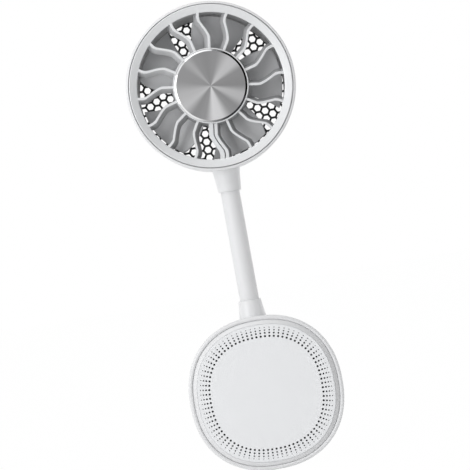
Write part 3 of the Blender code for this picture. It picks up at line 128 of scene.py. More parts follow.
def turned(name, profile, where=None, sides=128, ring=False):
    """A circle is extruded and scaled from point to point of a profile of (radius, height). A ring closes
    on itself. Any other piece starts as a filled circle, and a last radius of 0 draws its end to a point."""
    clear()
    radius, height = profile[0]
    fill = "NOTHING" if ring else "NGON"
    seat = (0, 0, height)
    bpy.ops.mesh.primitive_circle_add(vertices=sides, radius=radius, fill_type=fill, location=seat)
    obj = bpy.context.object
    bpy.ops.object.mode_set(mode="EDIT")
    bpy.ops.mesh.select_all(action="SELECT")
    extrude = bpy.ops.mesh.extrude_edges_move if ring else bpy.ops.mesh.extrude_region_move
    onwards = profile[1:] + profile[:1] if ring else profile[1:]
    for (radius, height), (wider, higher) in zip(profile, onwards):
        extrude(TRANSFORM_OT_translate={"value": (0, 0, higher - height)})
        if wider == 0:
            bpy.ops.mesh.merge(type="CENTER")
        else:
            growth = (wider / radius, wider / radius, 1)
            bpy.ops.transform.resize(value=growth, center_override=(0, 0, higher))
    bpy.ops.mesh.select_all(action="SELECT")
    bpy.ops.mesh.remove_doubles(threshold=0.000001)
    bpy.ops.mesh.normals_make_consistent(inside=False)
    return placed(obj, name, where)


def rod(name, radius, low, high, where=None, sides=64):
    """A straight round bar, for making a bore or a hole."""
    return turned(name, [(radius, low), (radius, high)], where, sides)


# %% Loft from ring to ring
def lofted(name, rings, where=None):
    """A filled circle is extruded once for each further ring, and the new points move to their places."""
    clear()
    bpy.ops.mesh.primitive_circle_add(vertices=len(rings[0]), radius=MM, fill_type="NGON")
    obj = bpy.context.object
    bpy.ops.object.mode_set(mode="EDIT")
    bpy.ops.mesh.select_all(action="SELECT")
    seats = {}
    for ring in rings:
        if seats:
            bpy.ops.mesh.extrude_region_move()
        shape = bmesh.from_edit_mesh(obj.data)
        moving = [vertex for vertex in shape.verts if vertex.select]
        if seats:
            moving.sort(key=lambda vertex: seats[tuple(vertex.co)])
        for vertex, point in zip(moving, ring):
            vertex.co = point
        seats = {tuple(vertex.co): number for number, vertex in enumerate(moving)}
        bmesh.update_edit_mesh(obj.data)
    bpy.ops.mesh.select_all(action="SELECT")
    bpy.ops.mesh.normals_make_consistent(inside=False)
    return placed(obj, name, where)


def bar(name, outline, low, high, along="Z", where=None):
    """The same outline at `low` and at `high` along one axis, with its points on the other two."""
    axis = "XYZ".index(along)
    rings = [[(*point[:axis], end, *point[axis:]) for point in outline] for end in (low, high)]
    return lofted(name, rings, where)


# %% [markdown]
# ## Tools for joining and finishing
# A moulding has bosses, holes and recesses. The quick way by hand is to model each as its own solid and
# add it or take it away with an applied Boolean. Sharp edges then get a small bevel, because a real edge
# always catches a line of light. Last come smooth shading and weighted normals, which keep the large flat
# faces flat.

# %% Copy, join, add and cut
def copies(obj, places):
    """Copies of a piece, each with its own mesh moved by a matrix. The first piece goes."""
    made = []
    for place in places:
        mesh = obj.data.copy()
        mesh.transform(place)
        made.append(bpy.data.objects.new("copy", mesh))
        bpy.context.scene.collection.objects.link(made[-1])
    bpy.data.objects.remove(obj)
    return made


def joined(objects):
    """Several objects as one, under the first one's name."""
    pick(*objects)
    bpy.ops.object.join()
    return objects[0]


def apply(obj, kind, **settings):
    """Adds a modifier, sets it and applies it."""
    pick(obj)
    modifier = obj.modifiers.new(kind.lower(), kind)
    for key, value in settings.items():
        setattr(modifier, key, value)
    bpy.ops.object.modifier_apply(modifier=modifier.name)
    return obj


def combine(obj, tool, operation):
    """Applies a Boolean with a tool, which then goes."""
    apply(obj, "BOOLEAN", operation=operation, solver="EXACT", object=tool)
    bpy.data.objects.remove(tool)
    return obj


def add(obj, *tools):
    return combine(obj, joined(tools), "UNION")


def cut(obj, *tools):
    return combine(obj, joined(tools), "DIFFERENCE")


# %% Round the edges and shade
def rounded(obj, width, segments=3, angle=40):
    """Bevels the edges that turn by more than the angle."""
    return apply(obj, "BEVEL", width=width, segments=segments, limit_method="ANGLE",
                 angle_limit=angle * DEG, use_clamp_overlap=True)


def shaded(obj, angle=35):
    """Smooths all but the sharp edges and keeps large faces flat."""
    pick(obj)
    bpy.ops.object.shade_smooth_by_angle(angle=angle * DEG)
    apply(obj, "WEIGHTED_NORMAL", keep_sharp=True)
    print(obj.name, "has", sum(len(face.vertices) - 2 for face in obj.data.polygons), "triangles")
    return obj


# %% Outlines with rounded corners
def eased(corners, steps=4):
    """Points along a closed outline of (x, y, rounding radius)."""
    path = []
    for number, (x, y, radius) in enumerate(corners):
        here = Vector((x, y))
        if not radius:
            path.append(here)
            continue
        back = (Vector(corners[number - 1][:2]) - here).normalized()
        ahead = (Vector(corners[(number + 1) % len(corners)][:2]) - here).normalized()
        half = back.angle(ahead) / 2
        middle = here + (back + ahead).normalized() * (radius / math.sin(half))
        start = here + back * (radius / math.tan(half)) - middle
        end = here + ahead * (radius / math.tan(half)) - middle
        for step in range(steps + 1):
            path.append(middle + start.lerp(end, step / steps).normalized() * radius)
    return path


def block_outline(wide, high, radius, steps=4):
    """A rectangle about the middle with rounded corners."""
    x, y = wide / 2, high / 2
    return eased([(-x, -y, radius), (x, -y, radius), (x, y, radius), (-x, y, radius)], steps)


def curved(points, steps):
    """A smooth line through the points, `steps` pieces from each to the next."""
    points = [Vector(point) for point in points]
    ends = [points[0] * 2 - points[1]] + points + [points[-1] * 2 - points[-2]]
    found = [points[0]]
    for before, start, end, after in zip(ends, ends[1:], ends[2:], ends[3:]):
        for step in range(1, steps + 1):
            share = step / steps
            pull = (before * 2 - start * 5 + end * 4 - after) * share**2
            pull += (start * 3 - before - end * 3 + after) * share**3
            found.append((start * 2 + (end - before) * share + pull) / 2)
    return found


# %% [markdown]
# ## Tools for finishes
# A finish is a Principled shader with a few nodes in front of it. Written as sums, such as 0.4 + 0.1 *
# cloud, the nodes stay readable, so a small class stands for a socket and turns the sums into Math nodes.
# Patterns use Object coordinates, because every finished piece sits at the origin and the pattern then
# stays fixed to it.

# %% A socket that does sums
class Strand:
    """One output of a node. A sum written with it adds Math nodes."""

    def __init__(self, nodes, socket):
        self.nodes = nodes
        self.socket = socket

    def __add__(self, other):
        return self.nodes.maths("ADD", self, other)

    def __sub__(self, other):
        return self.nodes.maths("SUBTRACT", self, other)

    def __rsub__(self, other):
        return self.nodes.maths("SUBTRACT", other, self)

    def __mul__(self, other):
        return self.nodes.maths("MULTIPLY", self, other)

    __radd__ = __add__
    __rmul__ = __mul__


# %% A set of nodes
class Nodes:
    """The nodes of a finish or of the world."""

    def __init__(self, owner):
        owner.use_nodes = True
        self.owner = owner
        self.tree = owner.node_tree
        kinds = ("BSDF_PRINCIPLED", "BACKGROUND")
        self.main = next(node for node in self.tree.nodes if node.type in kinds)

    def add(self, kind, settings=None, sockets=None, output=0):
        """Adds a node: its settings first, then the values or strands of its sockets."""
        node = self.tree.nodes.new("ShaderNode" + kind)
        for key, value in (settings or {}).items():
            if key == "stops":
                self.set_stops(node.color_ramp, value)
            else:
                setattr(node, key, value)
        for key, value in (sockets or {}).items():
            self.feed(node.inputs[key], value)
        return Strand(self, node.outputs[output])

    def feed(self, socket, value):
        if isinstance(value, Strand):
            self.tree.links.new(value.socket, socket)
        else:
            socket.default_value = value

    def set_stops(self, ramp, stops):
        """Stops of (place, grey). A ramp starts with two of its own."""
        ramp.interpolation = "EASE"
        while len(ramp.elements) < len(stops):
            ramp.elements.new(1.0)
        for element, (place, grey) in zip(ramp.elements, stops):
            element.position = place
            element.color = (grey, grey, grey, 1)

    def maths(self, operation, *values):
        return self.add("Math", {"operation": operation}, dict(enumerate(values)))

    def limited(self, value):
        return self.add("Math", {"operation": "ADD", "use_clamp": True}, {0: value, 1: 0.0})

    def mix(self, share, start, end):
        """From the colour `start` to the colour `end` as the share goes from 0 to 1."""
        return self.add("Mix", {"data_type": "RGBA"}, {0: share, 6: start, 7: end}, output=2)


# %% A finish
def rgba(colour, strength=1.0):
    """A colour with its alpha, made lighter or darker."""
    return (*[min(1.0, part * strength) for part in colour], 1.0)


class Finish(Nodes):
    """A material with Object coordinates at hand."""

    def __init__(self, name, colour, roughness, metallic=0.0, **constants):
        super().__init__(bpy.data.materials.new(name))
        self.colour = colour
        self.place = self.add("TexCoord", output=3)
        self.use("Base Color", rgba(colour))
        self.use("Roughness", roughness)
        self.use("Metallic", metallic)
        for key, value in constants.items():
            self.use(key.replace("_", " "), value)

    def use(self, socket, value):
        self.feed(self.main.inputs[socket], value)

    def noise(self, size, detail=2.0, place=None):
        """Clouds about `size` metres across."""
        where = place or self.place
        return self.add("TexNoise", None, {"Vector": where, "Scale": 1 / size, "Detail": detail})

    def measured_from(self, middle):
        """How far a place lies from a point along X, Y and Z."""
        moved = self.add("VectorMath", {"operation": "SUBTRACT"}, {0: self.place, 1: middle})
        parts = self.add("SeparateXYZ", None, {0: moved})
        return [Strand(self, socket) for socket in parts.socket.node.outputs]

    def bump(self, height, depth, under=None):
        sockets = {"Height": height, "Distance": depth, "Strength": 1.0}
        if under:
            sockets["Normal"] = under
        return self.add("Bump", None, sockets)

    def drift(self, share, amount):
        """Base colour that wanders a little, darker to lighter."""
        darker, lighter = rgba(self.colour, 1 - amount), rgba(self.colour, 1 + amount)
        self.use("Base Color", self.mix(share, darker, lighter))


def wear(obj, finish):
    """Gives a piece one finish, or a CAD node's own material slots the same one."""
    if obj.material_slots:
        for slot in obj.material_slots:
            slot.material = finish.owner
    else:
        obj.data.materials.append(finish.owner)
    return obj


# %% [markdown]
# ## Moulded plastic
# The shells, the guard and the blades are injection moulded. Up close such plastic has a fine even grain
# from the mould, a slight waviness from shrinking and roughness that drifts a little. White plastic is
# never pure white, and it is a touch cooler than paper. One maker of such finishes serves them all, and
# only the colour, the gloss and the grain differ.

# %% The moulded finishes
def moulded(name, colour, roughness, grain=0.25 * MM, depth=0.004 * MM, drift=0.012, **constants):
    """Plastic whose colour and gloss wander a little, with slight waves and a fine grain."""
    made = Finish(name, colour, roughness, **constants)
    cloud = made.noise(16 * MM, 1.0)
    made.drift(cloud, drift)
    made.use("Roughness", roughness - 0.05 + 0.1 * cloud)
    waves = made.bump(made.noise(7 * MM, 0.0), depth * 4)
    made.use("Normal", made.bump(made.noise(grain, 2.0), depth, waves))
    return made


WHITE = moulded("shell_white", (0.765, 0.77, 0.78), 0.34)
RING = moulded("guard_satin", (0.73, 0.74, 0.75), 0.36, Metallic=0.35)
GREY = moulded("satin_grey", (0.585, 0.59, 0.60), 0.40)
# The duct's lining is painted grey: painted shade for the shade it lies in behind the ring.
DUCT_PAINTED_SHADE = moulded("duct_grey", (0.42, 0.425, 0.435), 0.50)
PLATE = moulded("plate_white", (0.83, 0.84, 0.855), 0.46, grain=0.18 * MM, depth=0.003 * MM)


# %% Where a place lies round the head's axis
def clockwise_share(made):
    """The angle round the head's axis, clockwise from the top, as a share of a whole turn."""
    across, _, up = made.measured_from((0, 0, HEAD_Z))
    turn = made.maths("ARCTAN2", across, up) * (1 / (2 * math.pi))
    return made.maths("FRACT", turn + 1)


def axis_distance(made):
    """How far a place is from the head's axis."""
    across, _, up = made.measured_from((0, 0, HEAD_Z))
    return made.maths("SQRT", across * across + up * up)


# %% Painted shade on the sides of the vanes, painted light in the grille's middle
# Painted shade: how pale the vanes' sides are, over a share of a turn clockwise from the top.
PAINTED_VANE_SHADES = [
    (0.00, 0.62), (0.08, 0.50), (0.20, 0.26), (0.36, 0.22), (0.60, 0.24), (0.72, 0.45), (0.82, 0.82),
    (0.92, 0.85), (1.00, 0.62),
]


def vane_finish():
    """The sides of the vanes in painted shade: greyer than their front edges, palest at the upper left and
    darkest on the right and at the bottom.
    """
    made = moulded("vane_side", (0.70, 0.705, 0.715), 0.50)
    vane_shade = made.add("ValToRGB", {"stops": PAINTED_VANE_SHADES}, {0: clockwise_share(made)})
    made.use("Base Color", made.mix(vane_shade, rgba((0.24, 0.243, 0.25)), rgba(made.colour)))
    return made


VANE_SIDE_PAINTED_SHADE = vane_finish()
GRILLE_MIDDLE = 19.9 * MM


def grille_finish():
    """Charcoal, with a middle painted pale where the plate has no cells: painted light that lifts the shade
    behind the motor.
    """
    made = moulded("grille_charcoal", (0.036, 0.037, 0.040), 0.42, drift=0.1)
    # Painted light: the middle is painted pale, to lift it out of the motor's shade.
    middle = made.maths("LESS_THAN", axis_distance(made), GRILLE_MIDDLE)
    made.use("Base Color", made.mix(middle, rgba(made.colour), rgba((0.62, 0.625, 0.635))))
    return made


GRILLE = grille_finish()
BLACK = moulded("black_plastic", (0.02, 0.02, 0.022), 0.35, drift=0.1)
print("moulded finishes:", WHITE.owner.name, RING.owner.name, GREY.owner.name, PLATE.owner.name)

# %% [markdown]
# ## Spun aluminium
# The disc on the hub is turned on a lathe with a cutting tool that leaves grooves too fine to see. Each
# groove mirrors the light as one bright line towards the middle, so the real disc shows wedges that meet
# there. The grooves are a wave over the distance from the axis, which goes to the bump. The wedges are
# painted reflections: a ramp over the angle round the axis goes to the colour, so that they stay where they
# are from any side. The bevel is cut with a diamond and polished, so it is smoother, and its bright and
# dark arcs are painted reflections from a ramp of its own.

# %% The disc's finish
DISC_RADIUS = 19.3 * MM
BEVEL_WIDTH = 1.0 * MM
GROOVE_PITCH = 0.22 * MM
STREAK = 0.5 * MM
# Painted reflections: the greys of the wedges, over a share of a turn clockwise from the top.
PAINTED_WEDGES = [
    (0.00, 0.36), (0.05, 0.40), (0.13, 0.80), (0.155, 0.78), (0.20, 0.38), (0.27, 0.35), (0.32, 0.70),
    (0.34, 0.70), (0.39, 0.37), (0.42, 0.40), (0.48, 0.98), (0.51, 1.00), (0.56, 0.42), (0.61, 0.38),
    (0.67, 0.77), (0.72, 0.70), (0.81, 0.42), (0.86, 0.42), (0.905, 0.58), (0.945, 0.40), (1.00, 0.36),
]
# Painted reflections: the bevel's bright and dark arcs, over the same share of a turn.
PAINTED_BEVEL_GLINTS = [
    (0.00, 0.32), (0.035, 0.24), (0.09, 0.12), (0.20, 0.03), (0.28, 0.00), (0.45, 0.00), (0.50, 0.20),
    (0.535, 0.45), (0.60, 0.98), (0.70, 1.00), (0.78, 0.50), (0.86, 0.98), (0.945, 0.42), (1.00, 0.32),
]


def spun_finish():
    """Painted reflections: wedges in the face's colour over fine grooves, and bright and dark arcs painted
    on a smooth bevel.
    """
    made = Finish("spun_disc", (0.66, 0.665, 0.675), 0.30, 1.0)
    around_axis, reach = clockwise_share(made), axis_distance(made)
    painted_wedge = made.add("ValToRGB", {"stops": PAINTED_WEDGES}, {0: around_axis})
    polished = made.maths("GREATER_THAN", reach, DISC_RADIUS - 1.02 * BEVEL_WIDTH)
    groove = made.maths("SINE", reach * (2 * math.pi / GROOVE_PITCH))
    along = reach * (1 / STREAK)
    streak = made.add("TexNoise", {"noise_dimensions": "1D"}, {"W": along, "Detail": 3.0})
    painted_sheen = made.mix(painted_wedge, rgba((0.02, 0.02, 0.02)), rgba((0.68, 0.68, 0.69)))
    streaked_painted_sheen = made.mix(streak * 0.15, painted_sheen, rgba((0.40, 0.40, 0.41)))
    painted_glint = made.add("ValToRGB", {"stops": PAINTED_BEVEL_GLINTS}, {0: around_axis})
    painted_mirror = made.mix(painted_glint, rgba((0.05, 0.05, 0.055)), rgba((0.86, 0.865, 0.87)))
    made.use("Base Color", made.mix(polished, streaked_painted_sheen, painted_mirror))
    made.use("Roughness", 0.36 - 0.26 * polished)
    made.use("Normal", made.bump(groove * (1 - polished), 0.0012 * MM))
    return made


SPUN = spun_finish()

# %% [markdown]
# ## Silicone, rubber, steel and the rest
# The neck's sleeve is silicone: white, a little duller than the shells, with a soft skin. The clip's pads
# are a rubber that looks dusty because its surface scatters light. Screws, pin and spring are steel, drawn
# or turned, so their scratches run one way. The pieces inside show only through gaps, but they are what
# the fan is made of, so each has its own finish as well.

# %% Soft finishes
SILICONE = moulded("sleeve_silicone", (0.755, 0.76, 0.77), 0.46, grain=0.12 * MM, depth=0.002 * MM)


def rubber_finish():
    """Dark grey with a coarse grain and specks of dust."""
    made = moulded("pad_rubber", (0.22, 0.225, 0.235), 0.78, grain=0.15 * MM, depth=0.012 * MM, drift=0.08)
    dust = made.maths("GREATER_THAN", made.noise(0.3 * MM, 3.0), 0.62)
    made.use("Base Color", made.mix(dust * 0.35, rgba(made.colour), rgba((0.34, 0.345, 0.35))))
    return made


RUBBER = rubber_finish()


# %% Metal finishes
def metal(name, colour, roughness, stretch, size=0.3 * MM):
    """Scratches run along the axis whose stretch is small."""
    made = Finish(name, colour, roughness, 1.0)
    scratches = made.noise(size, 3.0, made.add("Mapping", None, {"Vector": made.place, "Scale": stretch}))
    made.drift(scratches, 0.10)
    made.use("Roughness", roughness - 0.08 + 0.16 * scratches)
    made.use("Normal", made.bump(scratches, 0.002 * MM))
    return made


STEEL = metal("turned_steel", (0.56, 0.57, 0.59), 0.30, (0.05, 1, 1))
GOLD = metal("gold_contact", (0.83, 0.62, 0.25), 0.25, (1, 1, 0.1))
BRONZE = metal("sintered_bronze", (0.45, 0.30, 0.14), 0.50, (1, 1, 1), 0.12 * MM)


# %% Striped finishes: wound wire and wound steel
def striped(name, colour, gap_colour, roughness, metallic, pitch, direction, depth):
    """Round strands side by side, dark between them and bulging in the middle. A wave texture repeats every
    0.314 divided by its scale."""
    made = Finish(name, colour, roughness, metallic)
    wave = made.add("TexWave", {"bands_direction": direction, "wave_profile": "SIN"},
                    {"Vector": made.place, "Scale": 0.314 / pitch, "Distortion": 0.0})
    height = Strand(made, wave.socket.node.outputs[1])
    made.use("Base Color", made.mix(height, rgba(gap_colour), rgba(colour)))
    made.use("Roughness", roughness + 0.1 * made.noise(1 * MM))
    made.use("Normal", made.bump(height, depth))
    return made


COPPER = striped("copper_winding", (0.70, 0.33, 0.15), (0.16, 0.05, 0.02), 0.30, 1.0,
                 pitch=0.35 * MM, direction="Y", depth=0.08 * MM)
WOUND_STEEL = striped("wound_steel", (0.52, 0.52, 0.54), (0.08, 0.08, 0.085), 0.32, 1.0,
                      pitch=1.1 * MM, direction="Z", depth=0.3 * MM)
MESH = striped("screen_mesh", (0.085, 0.086, 0.09), (0.02, 0.02, 0.022), 0.85, 0.0,
               pitch=0.3 * MM, direction="X", depth=0.08 * MM)


# %% Speckled finishes: ferrite, board, foil, foam, insulation, light pipe
def speckled(name, colour, other, roughness, size, depth, metallic=0.0, share=0.5, **constants):
    """Small patches of a second colour over the first."""
    made = Finish(name, colour, roughness, metallic, **constants)
    speck = made.noise(size, 3.0)
    patch = made.maths("GREATER_THAN", speck, share)
    made.use("Base Color", made.mix(patch * 0.6, rgba(colour), rgba(other)))
    made.use("Roughness", roughness - 0.04 + 0.08 * speck)
    made.use("Normal", made.bump(speck, depth))
    return made


FERRITE = speckled("ferrite", (0.045, 0.045, 0.05), (0.07, 0.07, 0.075), 0.55, 0.4 * MM, 0.02 * MM)
BOARD = speckled("board_green", (0.018, 0.13, 0.05), (0.03, 0.20, 0.08), 0.38, 2.5 * MM, 0.02 * MM)
FOIL = speckled("battery_foil", (0.16, 0.28, 0.48), (0.20, 0.33, 0.54), 0.32, 6 * MM, 0.1 * MM, 0.2)
FOAM = speckled("foam_tape", (0.05, 0.05, 0.05), (0.10, 0.10, 0.10), 0.92, 0.5 * MM, 0.2 * MM)
LEAD = speckled("lead_insulation", (0.42, 0.025, 0.025), (0.50, 0.05, 0.04), 0.45, 1 * MM, 0.01 * MM)
SHADED_LEAD = speckled("shaded_lead", (0.05, 0.05, 0.054), (0.07, 0.07, 0.075), 0.5, 1 * MM, 0.01 * MM)
LENS = speckled("clear_light", (0.86, 0.88, 0.90), (0.80, 0.82, 0.84), 0.16, 0.8 * MM, 0.004 * MM,
                Coat_Weight=0.5)

# %% CAD pieces that keep their shape
INSIDE = {
    "motor_bush": BRONZE, "motor_board": BOARD, "motor_windings": COPPER, "motor_leads": SHADED_LEAD,
    "rotor_can": STEEL, "magnet_ring": FERRITE, "motor_shaft": STEEL, "battery_pad": FOAM, "battery": FOIL,
    "battery_leads": LEAD, "main_board": BOARD, "switch_board": BOARD, "tact_switch": BLACK,
    "vent_screen": MESH,
}
for number in range(1, 5):
    INSIDE[f"head_screw_{number}"] = STEEL
for node, finish in INSIDE.items():
    wear(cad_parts[node], finish)
print(len(INSIDE), "CAD nodes keep their shape and get a finish")


# %% Hand a piece over to its body
def dressed(obj, finish, body, slot, *nodes):
    """Gives a finished piece its finish and body, and hides the CAD nodes that it stands for. The slot is
    not used.
    """
    if finish:
        wear(obj, finish)
    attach(obj, body)
    if nodes:
        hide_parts(*nodes)
    return obj


# %% [markdown]
# ## The head's shell
# The drum round the fan is one moulding: a rounded lip at the front, a rounded edge at the back and a
# tapering collar below that grips the neck. The drum is turned from a profile with eased corners. The
# collar is turned too and added to it, and then the bore for the neck is cut.

# %% The drum
HEAD_RADIUS = 45 * MM
HEAD_TOP = 26 * MM
HEAD_BACK = -15 * MM
BACK_RADIUS = 44.2 * MM
BACK_OPENING = 39.8 * MM
BACK_WALL = 1.8 * MM
DRUM_INSIDE = 43.1 * MM
SEAM = 43.45 * MM
SEAM_GAP = 0.38 * MM
LIP_DROP = 0.5 * MM
LIP_DEPTH = 2.6 * MM
drum = eased([
    (SEAM + SEAM_GAP / 2, HEAD_TOP - LIP_DROP, 0.15 * MM),
    (HEAD_RADIUS, HEAD_TOP - LIP_DROP, 1.0 * MM),
    (BACK_RADIUS, HEAD_BACK, 2.2 * MM),
    (BACK_OPENING, HEAD_BACK, 0.4 * MM),
    (BACK_OPENING, HEAD_BACK + BACK_WALL, 0.2 * MM),
    (DRUM_INSIDE, HEAD_BACK + BACK_WALL, 0.3 * MM),
    (DRUM_INSIDE, HEAD_TOP - LIP_DEPTH, 0),
    (SEAM + SEAM_GAP / 2, HEAD_TOP - LIP_DEPTH, 0),
], 5)
head_body = turned("head_body", drum, HEAD, 192, ring=True)

# %% The collar under it
NECK_BORE = 4.5 * MM
taper = curved([(7.8, 144.4), (7.4, 142.2), (7.08, 139.9), (6.72, 136.7), (6.36, 133.4), (6.22, 131.8)], 3)
lip = [(6.2, 131.3), (6.12, 131.0), (5.95, 130.85), (5.4, 130.8), (5.3, 130.9), (5.3, 132.6)]
add(head_body, turned("upper_collar", in_mm(taper + lip), NECK, 96))
cut(head_body, rod("bore", NECK_BORE, 129.8 * MM, 145.6 * MM, NECK))
dressed(shaded(head_body), WHITE, "head", "white_shell", "head_shell")

# %% [markdown]
# ## The guard
# The front ring, the duct behind it, the sixteen vanes and the hub's rim are one moulding in a slightly
# greyer white. Each vane runs outwards in an S and leans, so its side wall shows. One vane is lofted
# through sections along its S, rounded at the front, and copied round the hub. The one towards the neck is
# a pair of struts with wider lips in front, which hide the motor's leads. In the photograph the duct and
# the sides of the vanes are in shade, so their faces are picked by place and normal and get greyer
# finishes of their own.

# %% The ring and the duct
OPENING = 39 * MM
RING_BACK = 23.7 * MM
SPIGOT_RADII = (41.5 * MM, 42.8 * MM)
SPIGOT_BACK = 19 * MM
DUCT_BACK = -9.6 * MM
ring = eased([
    (OPENING, HEAD_TOP - 1.0 * MM, 0.5 * MM),
    (SEAM - SEAM_GAP / 2, HEAD_TOP, 0.35 * MM),
    (SEAM - SEAM_GAP / 2, RING_BACK, 0),
    (SPIGOT_RADII[1], RING_BACK, 0),
    (SPIGOT_RADII[1], SPIGOT_BACK, 0.2 * MM),
    (SPIGOT_RADII[0], SPIGOT_BACK, 0.2 * MM),
    (SPIGOT_RADII[0], RING_BACK, 0.3 * MM),
    (40.3 * MM, RING_BACK, 0.3 * MM),
    (40.85 * MM, DUCT_BACK, 0.2 * MM),
    (39.55 * MM, DUCT_BACK, 0.3 * MM),
], 4)
guard = turned("guard", ring, HEAD, 192, ring=True)

# %% The hub's rim and floor
HUB_RADIUS = 19.95 * MM
HUB_FLARE = 1.05 * MM
HUB_BACK = 18 * MM
HUB_FLOOR = (23.3 * MM, 24.8 * MM)
HUB_BORE = DISC_RADIUS + 0.08 * MM
rim = eased([
    (HUB_BORE, HEAD_TOP, 0.08 * MM),
    (HUB_RADIUS, HEAD_TOP, 0.25 * MM),
    (HUB_RADIUS + HUB_FLARE, HUB_BACK, 0.3 * MM),
    (HUB_BORE, HUB_BACK, 0.2 * MM),
    (HUB_BORE, HUB_FLOOR[0], 0),
    (1 * MM, HUB_FLOOR[0], 0),
    (1 * MM, HUB_FLOOR[1], 0),
    (HUB_BORE, HUB_FLOOR[1], 0),
], 3)
hub = turned("hub", rim, HEAD, 128, ring=True)

# %% The line of a vane
SWEEP = 8 * DEG
SWEEP_END = 0.885
HOOK = 0.6 * DEG


def held(share):
    """A share that stays between 0 and 1."""
    return min(1, max(0, share))


def vane_angle(radius):
    """How far the S has swept clockwise at this radius, with a slight hook at its outer end."""
    share = radius / OPENING
    bend = held((SWEEP_END - share) / 0.22)
    swept = SWEEP * (0.7 * bend + 0.3 * bend * bend * (3 - 2 * bend))
    return swept - HOOK * math.sin(math.pi * held((1 - share) / 0.13))


# %% One vane
VANE_START = 19.45 * MM
VANE_END = 39.65 * MM
VANE_STEPS = 28
VANE_BACK = 19 * MM
VANE_FRONT = 25 * MM
VANE_LEAN = 2.3 * MM
LIP_BACK = 23.6 * MM
HALF_BACK, HALF_FRONT, HALF_STEM = 0.45 * MM, 0.70 * MM, 0.6 * MM
FRONT_EDGE = 0.15 * MM


def vane(aside=0.0, lip=None):
    """One vane about the direction straight up, or `aside` of it clockwise. A lip widens its front like a
    T, from one place beside it to another."""
    corners = [(-HALF_BACK, VANE_BACK, 0.2 * MM), (HALF_BACK, VANE_BACK, 0.2 * MM)]
    if lip:
        left, right = lip
        stem_front = LIP_BACK - 0.3 * MM
        corners += [(HALF_STEM, stem_front, 0), (right, LIP_BACK, 0.1 * MM), (right, VANE_FRONT, FRONT_EDGE)]
        corners += [(left, VANE_FRONT, FRONT_EDGE), (left, LIP_BACK, 0.1 * MM), (-HALF_STEM, stem_front, 0)]
    else:
        corners += [(HALF_FRONT, VANE_FRONT, FRONT_EDGE), (-HALF_FRONT, VANE_FRONT, FRONT_EDGE)]
    section = eased(corners, 3)
    rings = []
    for step in range(VANE_STEPS + 1):
        radius = VANE_START + (VANE_END - VANE_START) * step / VANE_STEPS
        ring = []
        for across, height in section:
            lean = VANE_LEAN * (VANE_FRONT - height) / (VANE_FRONT - VANE_BACK)
            ring.append(around(radius, vane_angle(radius) + (aside + across - lean) / radius, height))
        rings.append(ring)
    return lofted("vane", rings)


# %% Sixteen vanes round the hub
VANES = 16
TWIN_ASIDE = 1.45 * MM
twins = [(TWIN_ASIDE, (-1.91 * MM, 0.60 * MM)), (-TWIN_ASIDE, (-1.23 * MM, 0.53 * MM))]
turns = [Matrix.Rotation(-2 * math.pi * number / VANES, 4, "Z") for number in range(VANES)]
half_turn = turns.pop(VANES // 2)
vanes = copies(vane(), turns)
for aside, lip in twins:
    vanes += copies(vane(aside, lip), [half_turn])
for piece in vanes:
    piece.data.transform(HEAD)
print(len(vanes), "vanes and struts")
add(guard, hub)
add(guard, *vanes)
dressed(shaded(guard, 40), RING, "head", "ring_white", "front_guard")

# %% Painted shade on the lining of the duct and on the sides of the vanes
guard.data.materials.append(DUCT_PAINTED_SHADE.owner)
guard.data.materials.append(VANE_SIDE_PAINTED_SHADE.owner)
for face in guard.data.polygons:
    reach = Vector((face.center.x, 0, face.center.z - HEAD_Z))
    height = -face.center.y
    on_duct = abs(reach.length - OPENING) < 0.6 * MM and height < HEAD_TOP - 1.4 * MM
    if on_duct and face.normal.dot(reach.normalized()) < -0.9:
        face.material_index = 1
    on_vane = HUB_RADIUS + 0.03 * MM < reach.length < OPENING - 0.5 * MM
    if on_vane and height < VANE_FRONT + 0.1 * MM and abs(face.normal.y) < 0.6:
        face.material_index = 2
sides = [face.material_index for face in guard.data.polygons]
print(sides.count(1), "faces of the duct and", sides.count(2), "of the vanes' sides")

# %% [markdown]
# ## The hub disc
# A thin aluminium lid is glued into the hub's rim. It is turned with a slightly dished face, a bevel that
# is cut last and a thin side. The middle is drawn to a point, which a very shallow cone hides completely.

# %% The disc
profile = [
    (DISC_RADIUS, 25.1 * MM), (DISC_RADIUS, 25.78 * MM), (DISC_RADIUS - 0.04 * MM, 25.84 * MM),
    (DISC_RADIUS - BEVEL_WIDTH + 0.05 * MM, 26.27 * MM), (DISC_RADIUS - BEVEL_WIDTH, 26.295 * MM),
    (DISC_RADIUS - BEVEL_WIDTH - 0.1 * MM, 26.298 * MM), (14 * MM, 26.26 * MM), (9 * MM, 26.22 * MM),
    (4 * MM, 26.18 * MM), (1 * MM, 26.16 * MM), (0, 26.155 * MM),
]
disc = turned("disc", profile, HEAD, 192)
dressed(shaded(disc, 20), SPUN, "head", "spun_aluminium", "hub_disc")

# %% [markdown]
# ## The impeller
# Five broad blades sit on a cup over the motor. A blade is a grid, bent round the axis and twisted so that
# its leading edge lies in front. A Solidify modifier makes it a wall and a bevel rounds its edges. The cup
# is turned, and the five copies are added to it.

# %% One blade
BLADE_INNER = 15.1 * MM
BLADE_OUTER = 38.15 * MM
BLADE_SPAN = 54.5 * DEG
BLADE_TAPER = 0.117
BLADE_SWEEP = 8.9 * DEG
BLADE_FRONT = 16.6 * MM
BLADE_DROP = 7.2 * MM
BLADE_CAMBER = 0.5 * MM
BLADE_WALL = 1.2 * MM


